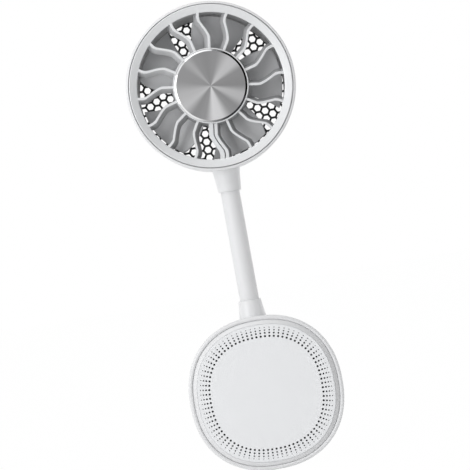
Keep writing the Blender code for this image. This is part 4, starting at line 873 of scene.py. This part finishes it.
def blade():
    """One blade: `share` runs from its leading to its trailing edge, `reach` from its root to its tip."""
    clear()
    bpy.ops.mesh.primitive_grid_add(x_subdivisions=26, y_subdivisions=18, size=1)
    obj = bpy.context.object
    for vertex in obj.data.vertices:
        share, reach = vertex.co.x + 0.5, vertex.co.y + 0.5
        radius = BLADE_INNER + (BLADE_OUTER - BLADE_INNER) * reach
        span = BLADE_SPAN * (1 - BLADE_TAPER * reach * reach)
        angle = span * (share - 0.5) + BLADE_SWEEP * reach * reach
        height = BLADE_FRONT - BLADE_DROP * share + BLADE_CAMBER * math.sin(math.pi * share)
        vertex.co = around(radius, angle, height)
    apply(obj, "SOLIDIFY", thickness=BLADE_WALL, offset=0)
    rounded(obj, 0.4 * MM, 3, 50)
    return obj


# %% The cup and five blades
CUP_INSIDE, CUP_OUTSIDE = 13.9 * MM, 16.3 * MM
CUP_BACK, CUP_FLOOR, CUP_FRONT = 9.7 * MM, 10.9 * MM, 18.7 * MM
BLADES = 5
FIRST_BLADE = 11.6 * DEG
cup = eased([
    (2 * MM, CUP_FLOOR, 0),
    (CUP_INSIDE, CUP_FLOOR, 0.3 * MM),
    (CUP_INSIDE, CUP_FRONT, 0.3 * MM),
    (CUP_OUTSIDE, CUP_FRONT, 0.8 * MM),
    (CUP_OUTSIDE, CUP_BACK, 1.0 * MM),
    (2 * MM, CUP_BACK, 0),
], 4)
impeller = turned("impeller_wheel", cup, HEAD, 128)
angles = [FIRST_BLADE + 2 * math.pi * number / BLADES for number in range(BLADES)]
blades = copies(blade(), [HEAD @ Matrix.Rotation(-angle, 4, "Z") for angle in angles])
add(impeller, *blades)
dressed(shaded(impeller, 40), GREY, "rotor", "blade_grey", "impeller")

# %% [markdown]
# ## The honeycomb grille
# The rear grille is a dark plate with hexagonal holes, seen between the blades. One hole is a prism with
# softened corners, and a few hundred copies stand on the lattice. They are first trimmed to a ring,
# because the rim cuts the outermost cells off and the motor's seat the innermost, and then taken out of
# the plate together.

# %% One cell and the lattice
CELL_PITCH = 4.45 * MM
CELL_WEB = 1.1 * MM
LATTICE_INNER, LATTICE_OUTER = 17 * MM, 41.2 * MM
GRILLE_LOW = -12.9 * MM
GRILLE_HIGH = -11.3 * MM


def cell():
    """A prism with six softened corners that reaches through the plate."""
    corner = (CELL_PITCH - CELL_WEB) / math.sqrt(3)
    spokes = [around(corner, (30 + 60 * number) * DEG) for number in range(6)]
    outline = eased([(spoke.x, spoke.y, 0.35 * MM) for spoke in spokes], 2)
    return bar("cell", outline, GRILLE_LOW - MM, GRILLE_HIGH + MM)


places = []
for row in range(-12, 13):
    for column in range(-20, 21):
        middle = Vector((row * CELL_PITCH * 1.5 / math.sqrt(3), (column + row / 2) * CELL_PITCH))
        if LATTICE_INNER < middle.length < LATTICE_OUTER:
            places.append(Matrix.Translation((middle.x, middle.y, 0)))
cells = joined(copies(cell(), places))
print(len(places), "cells")

# %% The plate without its cells
CELLS_OUTER = 39.5 * MM
low, high = GRILLE_LOW - 2 * MM, GRILLE_HIGH + 2 * MM
trim = [(CELLS_OUTER, low), (CELLS_OUTER, high), (GRILLE_MIDDLE, high), (GRILLE_MIDDLE, low)]
combine(cells, turned("trim", trim, None, 192, ring=True), "INTERSECT")
edge, softened = 42.8 * MM, 0.2 * MM
plate = [(edge - softened, GRILLE_LOW), (edge, GRILLE_LOW + softened)]
plate += [(edge, GRILLE_HIGH - softened), (edge - softened, GRILLE_HIGH)]
grille = turned("grille", plate, None, 128)
cut(grille, cells)
grille.data.transform(HEAD)
dressed(shaded(grille), GRILLE, "head", "charcoal", "rear_grille")

# %% [markdown]
# ## The neck
# The neck is a wound steel gooseneck in a white silicone sleeve. The CAD part stands in for it with rigid
# lengths that turn in one another. Here the sleeve is a plain tube, cut halfway between the hinges. The
# core inside is cut the same way. A shallow line just above the lower collar is a mark that the sleeve's
# mould leaves.

# %% One length of sleeve and of core
TUBE_RADIUS = 5.15 * MM
TUBE_INSIDE = 3.05 * MM
CORE_RADIUS = 2.7 * MM
FIRST_HINGE = 75.531 * MM
HINGE_PITCH = 9.062 * MM
MARK_HEIGHT = 72.7 * MM


def levels(low, high, rows):
    """Even steps from `low` to `high`."""
    return [low + (high - low) * row / rows for row in range(rows + 1)]


def sleeve(name, low, high, rows=14):
    """A tube with enough rows to bend smoothly."""
    outside = [(TUBE_RADIUS, height) for height in levels(low, high, rows)]
    inside = [(TUBE_INSIDE, height) for height in reversed(levels(low, high, rows))]
    if low < MARK_HEIGHT < high:
        mark = [(0, -0.16), (0.10, -0.08), (0.12, 0.0), (0.10, 0.08), (0, 0.16)]
        groove = [(TUBE_RADIUS - depth * MM, MARK_HEIGHT + rise * MM) for depth, rise in mark]
        below = [point for point in outside if point[1] < MARK_HEIGHT - 0.2 * MM]
        outside = below + groove + [point for point in outside if point[1] > MARK_HEIGHT + 0.2 * MM]
    return turned(name, outside + inside, NECK, 64, ring=True)


def core(name, low, high, rows=14):
    """A solid length of the wound core, with as many rows as its sleeve."""
    return turned(name, [(CORE_RADIUS, height) for height in levels(low, high, rows)], NECK, 48)


# %% Six lengths and the ones in the upper collar
LAYERS = ((sleeve, SILICONE, "white_silicone"), (core, WOUND_STEEL, "steel"))
HINGES = 6
SLEEVE_END = 132.4 * MM
CORE_END = 130.5 * MM
links = ["base"] + [f"neck_link_{number}" for number in range(1, HINGES)] + ["head"]
for number in range(HINGES):
    middle = FIRST_HINGE + HINGE_PITCH * number
    low, high = middle - HINGE_PITCH / 2, middle + HINGE_PITCH / 2
    for make, finish, slot in LAYERS:
        length = shaded(make(f"{make.__name__}_{number}", low, high), 50)
        wear(length, finish)
        links[number + 1]
        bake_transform(length)
        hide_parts(f"neck_{make.__name__}_{number}")
low = FIRST_HINGE + HINGE_PITCH * (HINGES - 0.5)
for (make, finish, slot), high in zip(LAYERS, (SLEEVE_END, CORE_END)):
    length = shaded(make(f"{make.__name__}_{HINGES}", low, high, 3), 50)
    dressed(length, finish, "head", slot, f"neck_{make.__name__}_{HINGES}")

# %% [markdown]
# ## The base's outline
# The base is neither round nor square: its outline is a superellipse, a circle whose power is a little
# above 2. Moving each point inwards along its normal keeps every band of the base equally wide, which
# scaling wouldn't do.

# %% The outline
BASE_HALF = 41 * MM
ROUNDNESS = 2.25


def base_outline(inset, count=240):
    """The superellipse seen from the front, moved inwards by the inset."""
    points = []
    for number in range(count):
        angle = 2 * math.pi * number / count
        cosine, sine = math.cos(angle), math.sin(angle)
        x = BASE_HALF * math.copysign(abs(cosine) ** (2 / ROUNDNESS), cosine)
        y = BASE_HALF * math.copysign(abs(sine) ** (2 / ROUNDNESS), sine)
        steep = [math.copysign(abs(value) ** (ROUNDNESS - 1), value) for value in (x, y)]
        normal = Vector(steep).normalized()
        points.append(Vector((x, y)) - normal * inset)
    return points


def base_rings(sections):
    """Rings of the outline at each (inset, height) in millimetres."""
    return [[(x, y, height * MM) for x, y in base_outline(inset * MM)] for inset, height in sections]


print("base across its corners:", round(2 * max(point.length for point in base_outline(0)) / MM, 1), "mm")

# %% [markdown]
# ## The base's shell
# A deep bowl with a wall of 2.8 mm, its back edge rounded widely. The collar for the neck and the lugs for
# the clip's pin are added. Everything that has to go through or into the wall is cut afterwards: the bore,
# the pin's hole, the pads' recess, the charging slot, the holes for button and light, and the screws'
# recesses.

# %% The bowl
BOWL_BACK = 1.2
EDGE_WIDE, EDGE_HIGH = 6.1, 6.5
bowl = [(6.6, 3.4), (4.2, 4.1), (3.2, 5.6), (2.8, 7.7), (2.8, 19.2), (2.2, 19.25), (2.2, 21.4)]
bowl += [(2.12, 21.62), (1.9, 21.86), (1.6, 22.0), (1.25, 22.05), (0.85, 21.98), (0.35, 21.68)]
bowl += [(0.08, 21.2), (0.0, 20.5), (0.25, 14.0)]
for degrees in range(0, 91, 10):
    angle = degrees * DEG
    bowl.append((0.5 + EDGE_WIDE * (1 - math.cos(angle)), BOWL_BACK + EDGE_HIGH * (1 - math.sin(angle))))
bowl.append((7.2, BOWL_BACK))
base_body = lofted("base_body", base_rings(bowl), BASE)

# %% The collar and the lugs
taper = curved([(7.5, 60.4), (7.15, 63.3), (6.85, 65.1), (6.58, 66.9), (6.34, 68.6), (6.15, 70.6)], 3)
lip = [(6.12, 71.3), (6.05, 71.6), (5.9, 71.75), (5.4, 71.75), (5.3, 71.65), (5.3, 70.4)]
PIN = Vector((0, 6 * MM, 30 * MM))
PIN_BORE = 1.55 * MM


def ear(name, radius, reach, low, high):
    """A half-round plate about the pin, from `low` to `high` along X, running on to y = `reach`."""
    away = 1 if reach < PIN.y else -1
    outline = [(reach, PIN.z - radius)]
    for degrees in levels(-90, 90, 24):
        angle = degrees * DEG
        outline.append((PIN.y + away * radius * math.cos(angle), PIN.z + radius * math.sin(angle)))
    outline.append((reach, PIN.z + radius))
    return rounded(bar(name, outline, low, high, "X"), 0.25 * MM, 2)


def ears(name, radius, reach, near, far):
    """The same ear on the left and on the right of the middle."""
    return [ear(name, radius, reach, *sorted((side * near, side * far))) for side in (-1, 1)]


lower_collar = turned("lower_collar", in_mm(taper + lip), NECK, 96)
add(base_body, lower_collar, *ears("lug", 2.9 * MM, -2.4 * MM, 10 * MM, 13 * MM))

# %% Where the holes are
LIGHT_OFFSET = 9 * MM
SCREW_OFFSET = 19.5 * MM
PIN_PLACE = Matrix.Translation(PIN) @ ALONG_X
BUTTON_PLACE = Matrix.Translation((0, NECK_Y, BASE_Z)) @ ALONG_X
LIGHT_PLACE = Matrix.Translation((0, 0, LIGHT_OFFSET)) @ BUTTON_PLACE
SCREW_PLACES = []
for x in (-SCREW_OFFSET, SCREW_OFFSET):
    for y in (-SCREW_OFFSET, SCREW_OFFSET):
        SCREW_PLACES.append(BASE @ Matrix.Translation((x, y, 0)))
PAD_WIDE, PAD_HIGH, PAD_GAP = 24 * MM, 14 * MM, 0.3 * MM
PORT_WIDE, PORT_HIGH, PORT_GAP = 8.94 * MM, 3.26 * MM, 0.3 * MM
BUTTON_HOLE, LIGHT_HOLE = 4.3 * MM, 1.3 * MM

# %% Bores, slots, holes and recesses
recess = block_outline(PAD_WIDE + 2 * PAD_GAP, PAD_HIGH + 2 * PAD_GAP, 0.8 * MM)
slot = block_outline(PORT_WIDE + 2 * PORT_GAP, PORT_HIGH + 2 * PORT_GAP, 1.5 * MM, 6)
cuts = [
    rod("bore", NECK_BORE, 59.6 * MM, 72 * MM, NECK),
    rod("pin_hole", PIN_BORE, -14 * MM, 14 * MM, PIN_PLACE, 48),
    bar("pad_recess", recess, -2 * MM, MM, "Y"),
    bar("port_slot", slot, -20 * MM, -15 * MM, where=NECK),
    rod("button_hole", BUTTON_HOLE, 37 * MM, 42 * MM, BUTTON_PLACE),
    rod("light_hole", LIGHT_HOLE, 36 * MM, 42 * MM, LIGHT_PLACE, 32),
]
screw_cut = turned("screw_recess", in_mm([(2.5, 0.0), (2.5, 2.4), (1.3, 2.41), (1.3, 4.5)]), None, 48)
cut(base_body, *cuts, *copies(screw_cut, SCREW_PLACES))
dressed(shaded(base_body), WHITE, "base", "white_shell", "base_shell")

# %% [markdown]
# ## The front plate and its vents
# The plate is flat, with a fine groove round it and a narrow band that slopes down to the seam. Four rows
# of vents follow the outline: 84 on each row, in step with each other, and smaller from row to row towards
# the edge. Each row is made from one small prism, and all 336 holes are cut at once. The band is glossier
# than the plate, so its faces get a second finish, which also has painted shade on the right.

# %% The plate
PLATE_TOP = 23.0
plate_bands = [(6.6, PLATE_TOP), (4.88, PLATE_TOP), (4.8, 22.98), (4.74, 22.92), (4.64, 22.5), (4.56, 22.5)]
plate_bands += [(4.5, 22.78), (4.0, 22.44), (3.3, 21.98), (2.8, 21.62), (2.42, 21.4), (2.3, 21.15)]
plate_bands += [(2.27, 20.9), (2.27, 19.6), (3.6, 19.55), (3.65, 21.4)]
cover = lofted("front_plate", base_rings(plate_bands), BASE)
post = turned("post", in_mm([(2.6, 21.9), (2.6, 3.7), (1.3, 3.7), (1.3, 21.9)]), None, 32, ring=True)
add(cover, *copies(post, SCREW_PLACES))

# %% Where the vents stand
VENTS = 84
VENT_ROWS = [(11.05, 0.60), (9.32, 0.51), (7.8, 0.41), (6.4, 0.28)]


def evenly(points, count):
    """Equal steps along a closed outline: the number of the point before each and the share beyond it."""
    ring = points + points[:1]
    lengths = [(ahead - here).length for here, ahead in zip(ring, ring[1:])]
    found, travelled, segment = [], 0.0, 0
    for number in range(count):
        wanted = number * sum(lengths) / count
        while travelled + lengths[segment] < wanted:
            travelled += lengths[segment]
            segment += 1
        found.append((segment, (wanted - travelled) / lengths[segment]))
    return found


steps = evenly(base_outline(VENT_ROWS[0][0] * MM), VENTS)
holes = []
for inset, radius in VENT_ROWS:
    row = base_outline(inset * MM)
    row.append(row[0])
    vent = rod("vent", radius * MM, 20.5 * MM, 24 * MM, None, 12)
    places = [row[segment].lerp(row[segment + 1], share) for segment, share in steps]
    holes += copies(vent, [BASE @ Matrix.Translation((place.x, place.y, 0)) for place in places])
cut(cover, *holes)
print(len(holes), "vents")
dressed(shaded(cover), PLATE, "base", "white_shell", "base_front_cover")

# %% The band round the plate is as glossy as the shell, and has painted shade on the right
def band_finish():
    """The shell's white with painted shade: a little greyer on the right, where the studio is darker."""
    made = moulded("band_white", WHITE.colour, 0.34)
    # Painted shade: the band grows greyer towards the right.
    shade_to_right = made.limited(made.add("SeparateXYZ", None, {0: made.place}) * (1 / BASE_HALF))
    painted_shade_tint = made.mix(shade_to_right * shade_to_right, rgba(made.colour), rgba(made.colour, 0.85))
    made.use("Base Color", painted_shade_tint)
    return made


cover.data.materials.append(band_finish().owner)
for face in cover.data.polygons:
    if 20.5 * MM < -face.center.y < (PLATE_TOP - 0.05) * MM and abs(face.normal.y) > 0.3:
        face.material_index = 1

# %% [markdown]
# ## Screws, socket, button and light
# The base is closed by four pan-head screws with a cross recess. One screw is turned, its cross is cut,
# and it is copied. The charging socket is a folded steel shell round a black tongue with gold contacts.
# The button is a dished cap and the light a small clear dome.

# %% A screw and its copies
SCREW_HEAD, SCREW_SHANK, SCREW_SEAT = 2.2 * MM, 1.0 * MM, 0.9 * MM
SCREW_LENGTH = 9.9 * MM
CROSS_LONG, CROSS_WIDE, CROSS_DEPTH = 2.3 * MM, 0.5 * MM, 0.62 * MM


def screw_piece():
    """A pan head with a cross recess on a plain shank, its head towards the back."""
    profile = eased([
        (0.2 * MM, 0, 0),
        (SCREW_HEAD, 0, 0.45 * MM),
        (SCREW_HEAD, SCREW_SEAT, 0.08 * MM),
        (SCREW_SHANK, SCREW_SEAT, 0),
        (SCREW_SHANK, SCREW_LENGTH, 0.2 * MM),
        (0.2 * MM, SCREW_LENGTH, 0),
    ], 4)
    made = turned("screw", profile, None, 48)
    arms = []
    for wide, high in ((CROSS_LONG, CROSS_WIDE), (CROSS_WIDE, CROSS_LONG)):
        arms.append(bar("arm", block_outline(wide, high, 0.12 * MM, 2), -0.2 * MM, CROSS_DEPTH))
    add(arms[0], arms[1])
    return cut(made, arms[0])


sunk = Matrix.Translation((0, 0, 1.2 * MM))
for number, piece in enumerate(copies(screw_piece(), [place @ sunk for place in SCREW_PLACES]), 1):
    piece.name = piece.data.name = f"back_screw_{number}"
    dressed(shaded(piece), STEEL, "base", "steel", f"base_screw_{number}")

# %% The charging socket
MOUTH = -18.6 * MM
CONTACTS = 12
CONTACT_PITCH = 0.5 * MM
CONTACT_SIDE = 0.36 * MM


def port_ring(inset, height):
    """The socket's outline at an inset and a height above its mouth."""
    outline = block_outline(PORT_WIDE - 2 * inset, PORT_HIGH - 2 * inset, 1.3 * MM - inset, 6)
    return [(x, y, MOUTH + height) for x, y in outline]


port_bands = [(0, 7.3), (0, 0.1), (0.06, 0.02), (0.16, 0), (0.28, 0.03), (0.35, 0.15), (0.35, 6.3)]
socket = lofted("charging_socket", [port_ring(inset, height) for inset, height in in_mm(port_bands)], NECK)
wear(socket, STEEL)
outline = block_outline(6.6 * MM, 0.7 * MM, 0.15 * MM, 3)
tongue = wear(bar("tongue", outline, MOUTH + 0.7 * MM, MOUTH + 6.5 * MM, where=NECK), BLACK)
outline = block_outline(0.26 * MM, 0.06 * MM, 0.02 * MM, 1)
contact = wear(bar("contact", outline, MOUTH + 1.0 * MM, MOUTH + 4.5 * MM), GOLD)
places = []
for number in range(CONTACTS):
    across = (number - (CONTACTS - 1) / 2) * CONTACT_PITCH
    places += [Matrix.Translation((across, NECK_Y + side * CONTACT_SIDE, 0)) for side in (-1, 1)]
joined([socket, tongue] + copies(contact, places))
dressed(shaded(socket), None, "base", "steel", "usb_c_port")

# %% The button and the light
cap = [(4.8, 36.9), (4.8, 37.9), (4.0, 37.95), (4.0, 40.2), (3.93, 40.45), (3.75, 40.62), (3.5, 40.7)]
cap += [(3.2, 40.68), (2.4, 40.58), (1.2, 40.48), (0, 40.45)]
button = turned("button", in_mm(cap), BUTTON_PLACE, 96)
dressed(shaded(button), WHITE, "button", "white_shell", "power_button")
dome = [(1.0, 31.7), (1.0, 40.2), (0.93, 40.34), (0.75, 40.42), (0.4, 40.45), (0, 40.45)]
light = turned("light", in_mm(dome), LIGHT_PLACE, 48)
dressed(shaded(light), LENS, "base", "light_pipe", "status_light")

# %% [markdown]
# ## The clip
# Behind the base a sprung lever turns on a steel pin. Its jaw presses a ribbed rubber pad against another
# on the base, and its upper end is a tab for the finger with three ribs. The lever is lofted along its
# bent line through rounded sections. The knuckles that hold the pin are added to it. The spring is one
# wire whose coils wind along the pin between the leg on the base and the leg on the lever.

# %% The lever
ARM_LINE = [
    (6.75, -16.0, 10.0), (6.03, -14.65, 13.0), (4.34, -11.5, 14.5), (3.15, -7.8, 15.0), (3.15, 7.8, 15.0),
    (4.75, 10.6, 15.0), (9.0, 16.0, 15.0), (10.6, 23.0, 15.0), (10.6, 35.0, 15.0), (11.9, 43.0, 15.0),
    (14.0, 50.8, 14.5), (15.2, 54.7, 13.0), (15.7, 56.0, 10.0),
]
THICK = 2.6 * MM


def arm_rings():
    """Rounded sections square to the arm's line, which is given by (y, z, half width)."""
    line = curved([Vector(point) * MM for point in ARM_LINE], 4)
    rings = []
    for number, (y, z, half) in enumerate(line):
        before, after = line[max(0, number - 1)], line[min(len(line) - 1, number + 1)]
        along = Vector((after.y - before.y, after.x - before.x)).normalized()
        section = block_outline(2 * half, THICK, 0.9 * MM)
        rings.append([(x, y + out * along.x, z - out * along.y) for x, out in section])
    return rings


lever = lofted("lever", arm_rings())

# %% Its ribs, knuckles and bore
RIB_PITCH = 2.4 * MM
start, end = [Vector((0, y, z)) * MM for y, z, half in ARM_LINE[9:11]]
along = (end - start).normalized()
outwards = Vector((0, along.z, -along.y))
rib = in_mm([(0.12, -10.0), (0.36, -9.9), (0.45, -9.65), (0.45, 9.65), (0.36, 9.9), (0.12, 10.0)])
parts = ears("knuckle", 3.3 * MM, 10.3 * MM, 6.2 * MM, 9.7 * MM)
for number in (-1, 0, 1):
    place = start.lerp(end, 0.6) + along * RIB_PITCH * number + outwards * THICK / 2
    parts.append(turned("rib", rib, Matrix.Translation(place) @ ALONG_X, 24))
add(lever, *parts)
cut(lever, rod("bore", PIN_BORE, -12 * MM, 12 * MM, PIN_PLACE, 48))
dressed(shaded(lever), WHITE, "clip_lever", "white_shell", "clip_arm")

# %% The pads
PAD_RIBS = 6
PAD_GROOVE = 0.4 * MM


def pad(name, face, back):
    """Six ribs on the side where the pads meet."""
    valley = face - PAD_GROOVE if face > back else face + PAD_GROOVE
    pitch = PAD_HIGH / PAD_RIBS
    corners = [(back, -PAD_HIGH / 2, 0.25 * MM)]
    for rib in range(PAD_RIBS):
        low = -PAD_HIGH / 2 + rib * pitch
        corners += [(valley, low + 0.03 * pitch, 0.05 * MM), (face, low + 0.28 * pitch, 0.2 * MM)]
        corners += [(face, low + 0.72 * pitch, 0.2 * MM), (valley, low + 0.97 * pitch, 0.05 * MM)]
    corners.append((back, PAD_HIGH / 2, 0.25 * MM))
    return bar(name, eased(corners, 3), -PAD_WIDE / 2, PAD_WIDE / 2, "X")


dressed(shaded(pad("jaw_pad", 0.15 * MM, 1.55 * MM)), RUBBER, "clip_lever", "grey_rubber", "arm_pad")
dressed(shaded(pad("back_pad", -0.15 * MM, -1.7 * MM)), RUBBER, "base", "grey_rubber", "base_pad")

# %% The pin
pin = [(0.3, -12.7), (0.95, -12.7), (1.17, -12.62), (1.25, -12.4)]
pin += [(1.25, 12.4), (1.17, 12.62), (0.95, 12.7), (0.3, 12.7)]
pin = turned("hinge_pin", in_mm(pin), PIN_PLACE, 48)
dressed(shaded(pin), STEEL, "base", "steel", "clip_pin")


# %% A wire
def wire(name, points, radius, sides=12):
    """Circles square to a line, each turned as little as possible from the one before."""
    rings = []
    side = Vector((1, 0, 0))
    for number, point in enumerate(points):
        before, after = points[max(0, number - 1)], points[min(len(points) - 1, number + 1)]
        along = (after - before).normalized()
        side = (side - along * side.dot(along)).normalized()
        other = along.cross(side)
        angles = [2 * math.pi * number / sides for number in range(sides)]
        spokes = [side * math.cos(angle) + other * math.sin(angle) for angle in angles]
        rings.append([point + spoke * radius for spoke in spokes])
    return lofted(name, rings)


# %% The spring
COIL_RADIUS = 2.25 * MM
COIL_LENGTH = 6.25 * MM
COIL_TURNS = 5.5
WIRE_RADIUS = 0.4 * MM
LEG = 11 * MM
left, right = -COIL_LENGTH / 2, COIL_LENGTH / 2
knee, tip = PIN.z + LEG / 3, PIN.z + LEG
line = [Vector((left, -0.5 * MM, tip)), Vector((left, PIN.y - 2.65 * MM, knee))]
for share in levels(0, 1, int(COIL_TURNS * 20)):
    angle = math.pi + 2 * math.pi * COIL_TURNS * share
    x = COIL_LENGTH * (share - 0.5)
    line.append(PIN + Vector((x, COIL_RADIUS * math.cos(angle), COIL_RADIUS * math.sin(angle))))
line += [Vector((right, PIN.y + 2.4 * MM, knee)), Vector((right, PIN.y + 3.0 * MM, tip))]
spring = shaded(wire("spring", line, WIRE_RADIUS), 50)
wear(spring, STEEL)
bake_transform(spring)
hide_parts("clip_spring")

# %% [markdown]
# ## The floor, the light and the camera
# The photograph is a catalogue picture: nothing but white round the fan, and soft light from the left. The
# world lights the object evenly, and is pure white to the camera, to mirrors and to glass. A large lamp at
# the left models the forms, two weaker ones lift the top and the far side, and a dark card at the right
# gives metal and gloss something to mirror there. The camera never sees the card itself.

# %% The world
AMBIENT = 0.66


def seen(nodes):
    """1 for rays from the camera, off a mirror or through glass."""
    path = nodes.add("LightPath")
    rays = {socket.name: Strand(nodes, socket) for socket in path.socket.node.outputs}
    return nodes.limited(rays["Is Camera Ray"] + rays["Is Glossy Ray"] + rays["Is Transmission Ray"])


world = Nodes(bpy.data.worlds.new("studio"))
world.feed(world.main.inputs["Color"], (1, 1, 1, 1))
world.feed(world.main.inputs["Strength"], AMBIENT + (1 - AMBIENT) * seen(world))
bpy.context.scene.world = world.owner

# %% The floor
PAPER_GLOW = 0.99
floor_paper = Finish("studio_paper", (0.97, 0.97, 0.97), 0.9)
floor_paper.drift(floor_paper.noise(0.3), 0.01)
glow = floor_paper.add("Emission", None, {"Color": (1, 1, 1, 1), "Strength": 1.0})
blend = floor_paper.add("MixShader", None, {0: seen(floor_paper) * PAPER_GLOW, 2: glow})
floor_paper.feed(blend.socket.node.inputs[1], Strand(floor_paper, floor_paper.main.outputs[0]))
output = next(node for node in floor_paper.tree.nodes if node.type == "OUTPUT_MATERIAL")
floor_paper.feed(output.inputs["Surface"], blend)

clear()
bpy.ops.mesh.primitive_plane_add(size=6, location=(0, 0, BASE_Z - BASE_HALF - 0.2 * MM))
floor = bpy.context.object
floor.name = "studio_floor"
wear(floor, floor_paper)


# %% The lamps
LIT = (0, 0, 0.1)


def facing(place, target):
    """A place whose -Z looks at the target."""
    towards = Vector(target) - Vector(place)
    return Matrix.Translation(place) @ towards.to_track_quat("-Z", "Y").to_matrix().to_4x4()


def lamp(name, place, size, watts):
    """A round lamp that faces the middle of the fan."""
    data = bpy.data.lights.new(name, "AREA")
    data.shape = "DISK"
    data.size = size
    data.energy = watts
    obj = bpy.data.objects.new(name, data)
    bpy.context.scene.collection.objects.link(obj)
    obj.matrix_world = facing(place, LIT)


lamp("left_lamp", (-0.65, -0.65, 0.30), 0.60, 2.6)
lamp("top_lamp", (-0.15, -0.5, 0.95), 0.6, 2.0)
lamp("far_lamp", (0.75, 0.55, 0.30), 0.5, 0.8)

# %% The dark card
clear()
bpy.ops.mesh.primitive_plane_add(size=1)
card = bpy.context.object
card.name = "dark_card"
card.matrix_world = facing((0.42, -0.55, 0.25), (0, 0, 0.12)) @ Matrix.Diagonal((0.46, 1.2, 1, 1))
wear(card, Finish("card_paper", (0.03, 0.03, 0.03), 0.9))
card.visible_camera = False

# %% The camera
FOCAL_LENGTH = 130.4
ROLL = 10.27 * DEG
AIM = Vector((-1.5 * MM, -HEAD_TOP, 107.35 * MM))
DISTANCE = 898.5 * MM
stand_off = Matrix.Translation(AIM - Vector((0, DISTANCE, 0)))
lens = bpy.data.cameras.new("camera")
lens.lens = FOCAL_LENGTH
lens.sensor_width = 36
camera = bpy.data.objects.new("camera", lens)
bpy.context.scene.collection.objects.link(camera)
camera.matrix_world = stand_off @ Matrix.Rotation(ROLL, 4, "Y") @ STAND
bpy.context.scene.camera = camera
bpy.context.scene.view_settings.view_transform = "Standard"
print("camera at", [round(value, 3) for value in camera.matrix_world.translation])
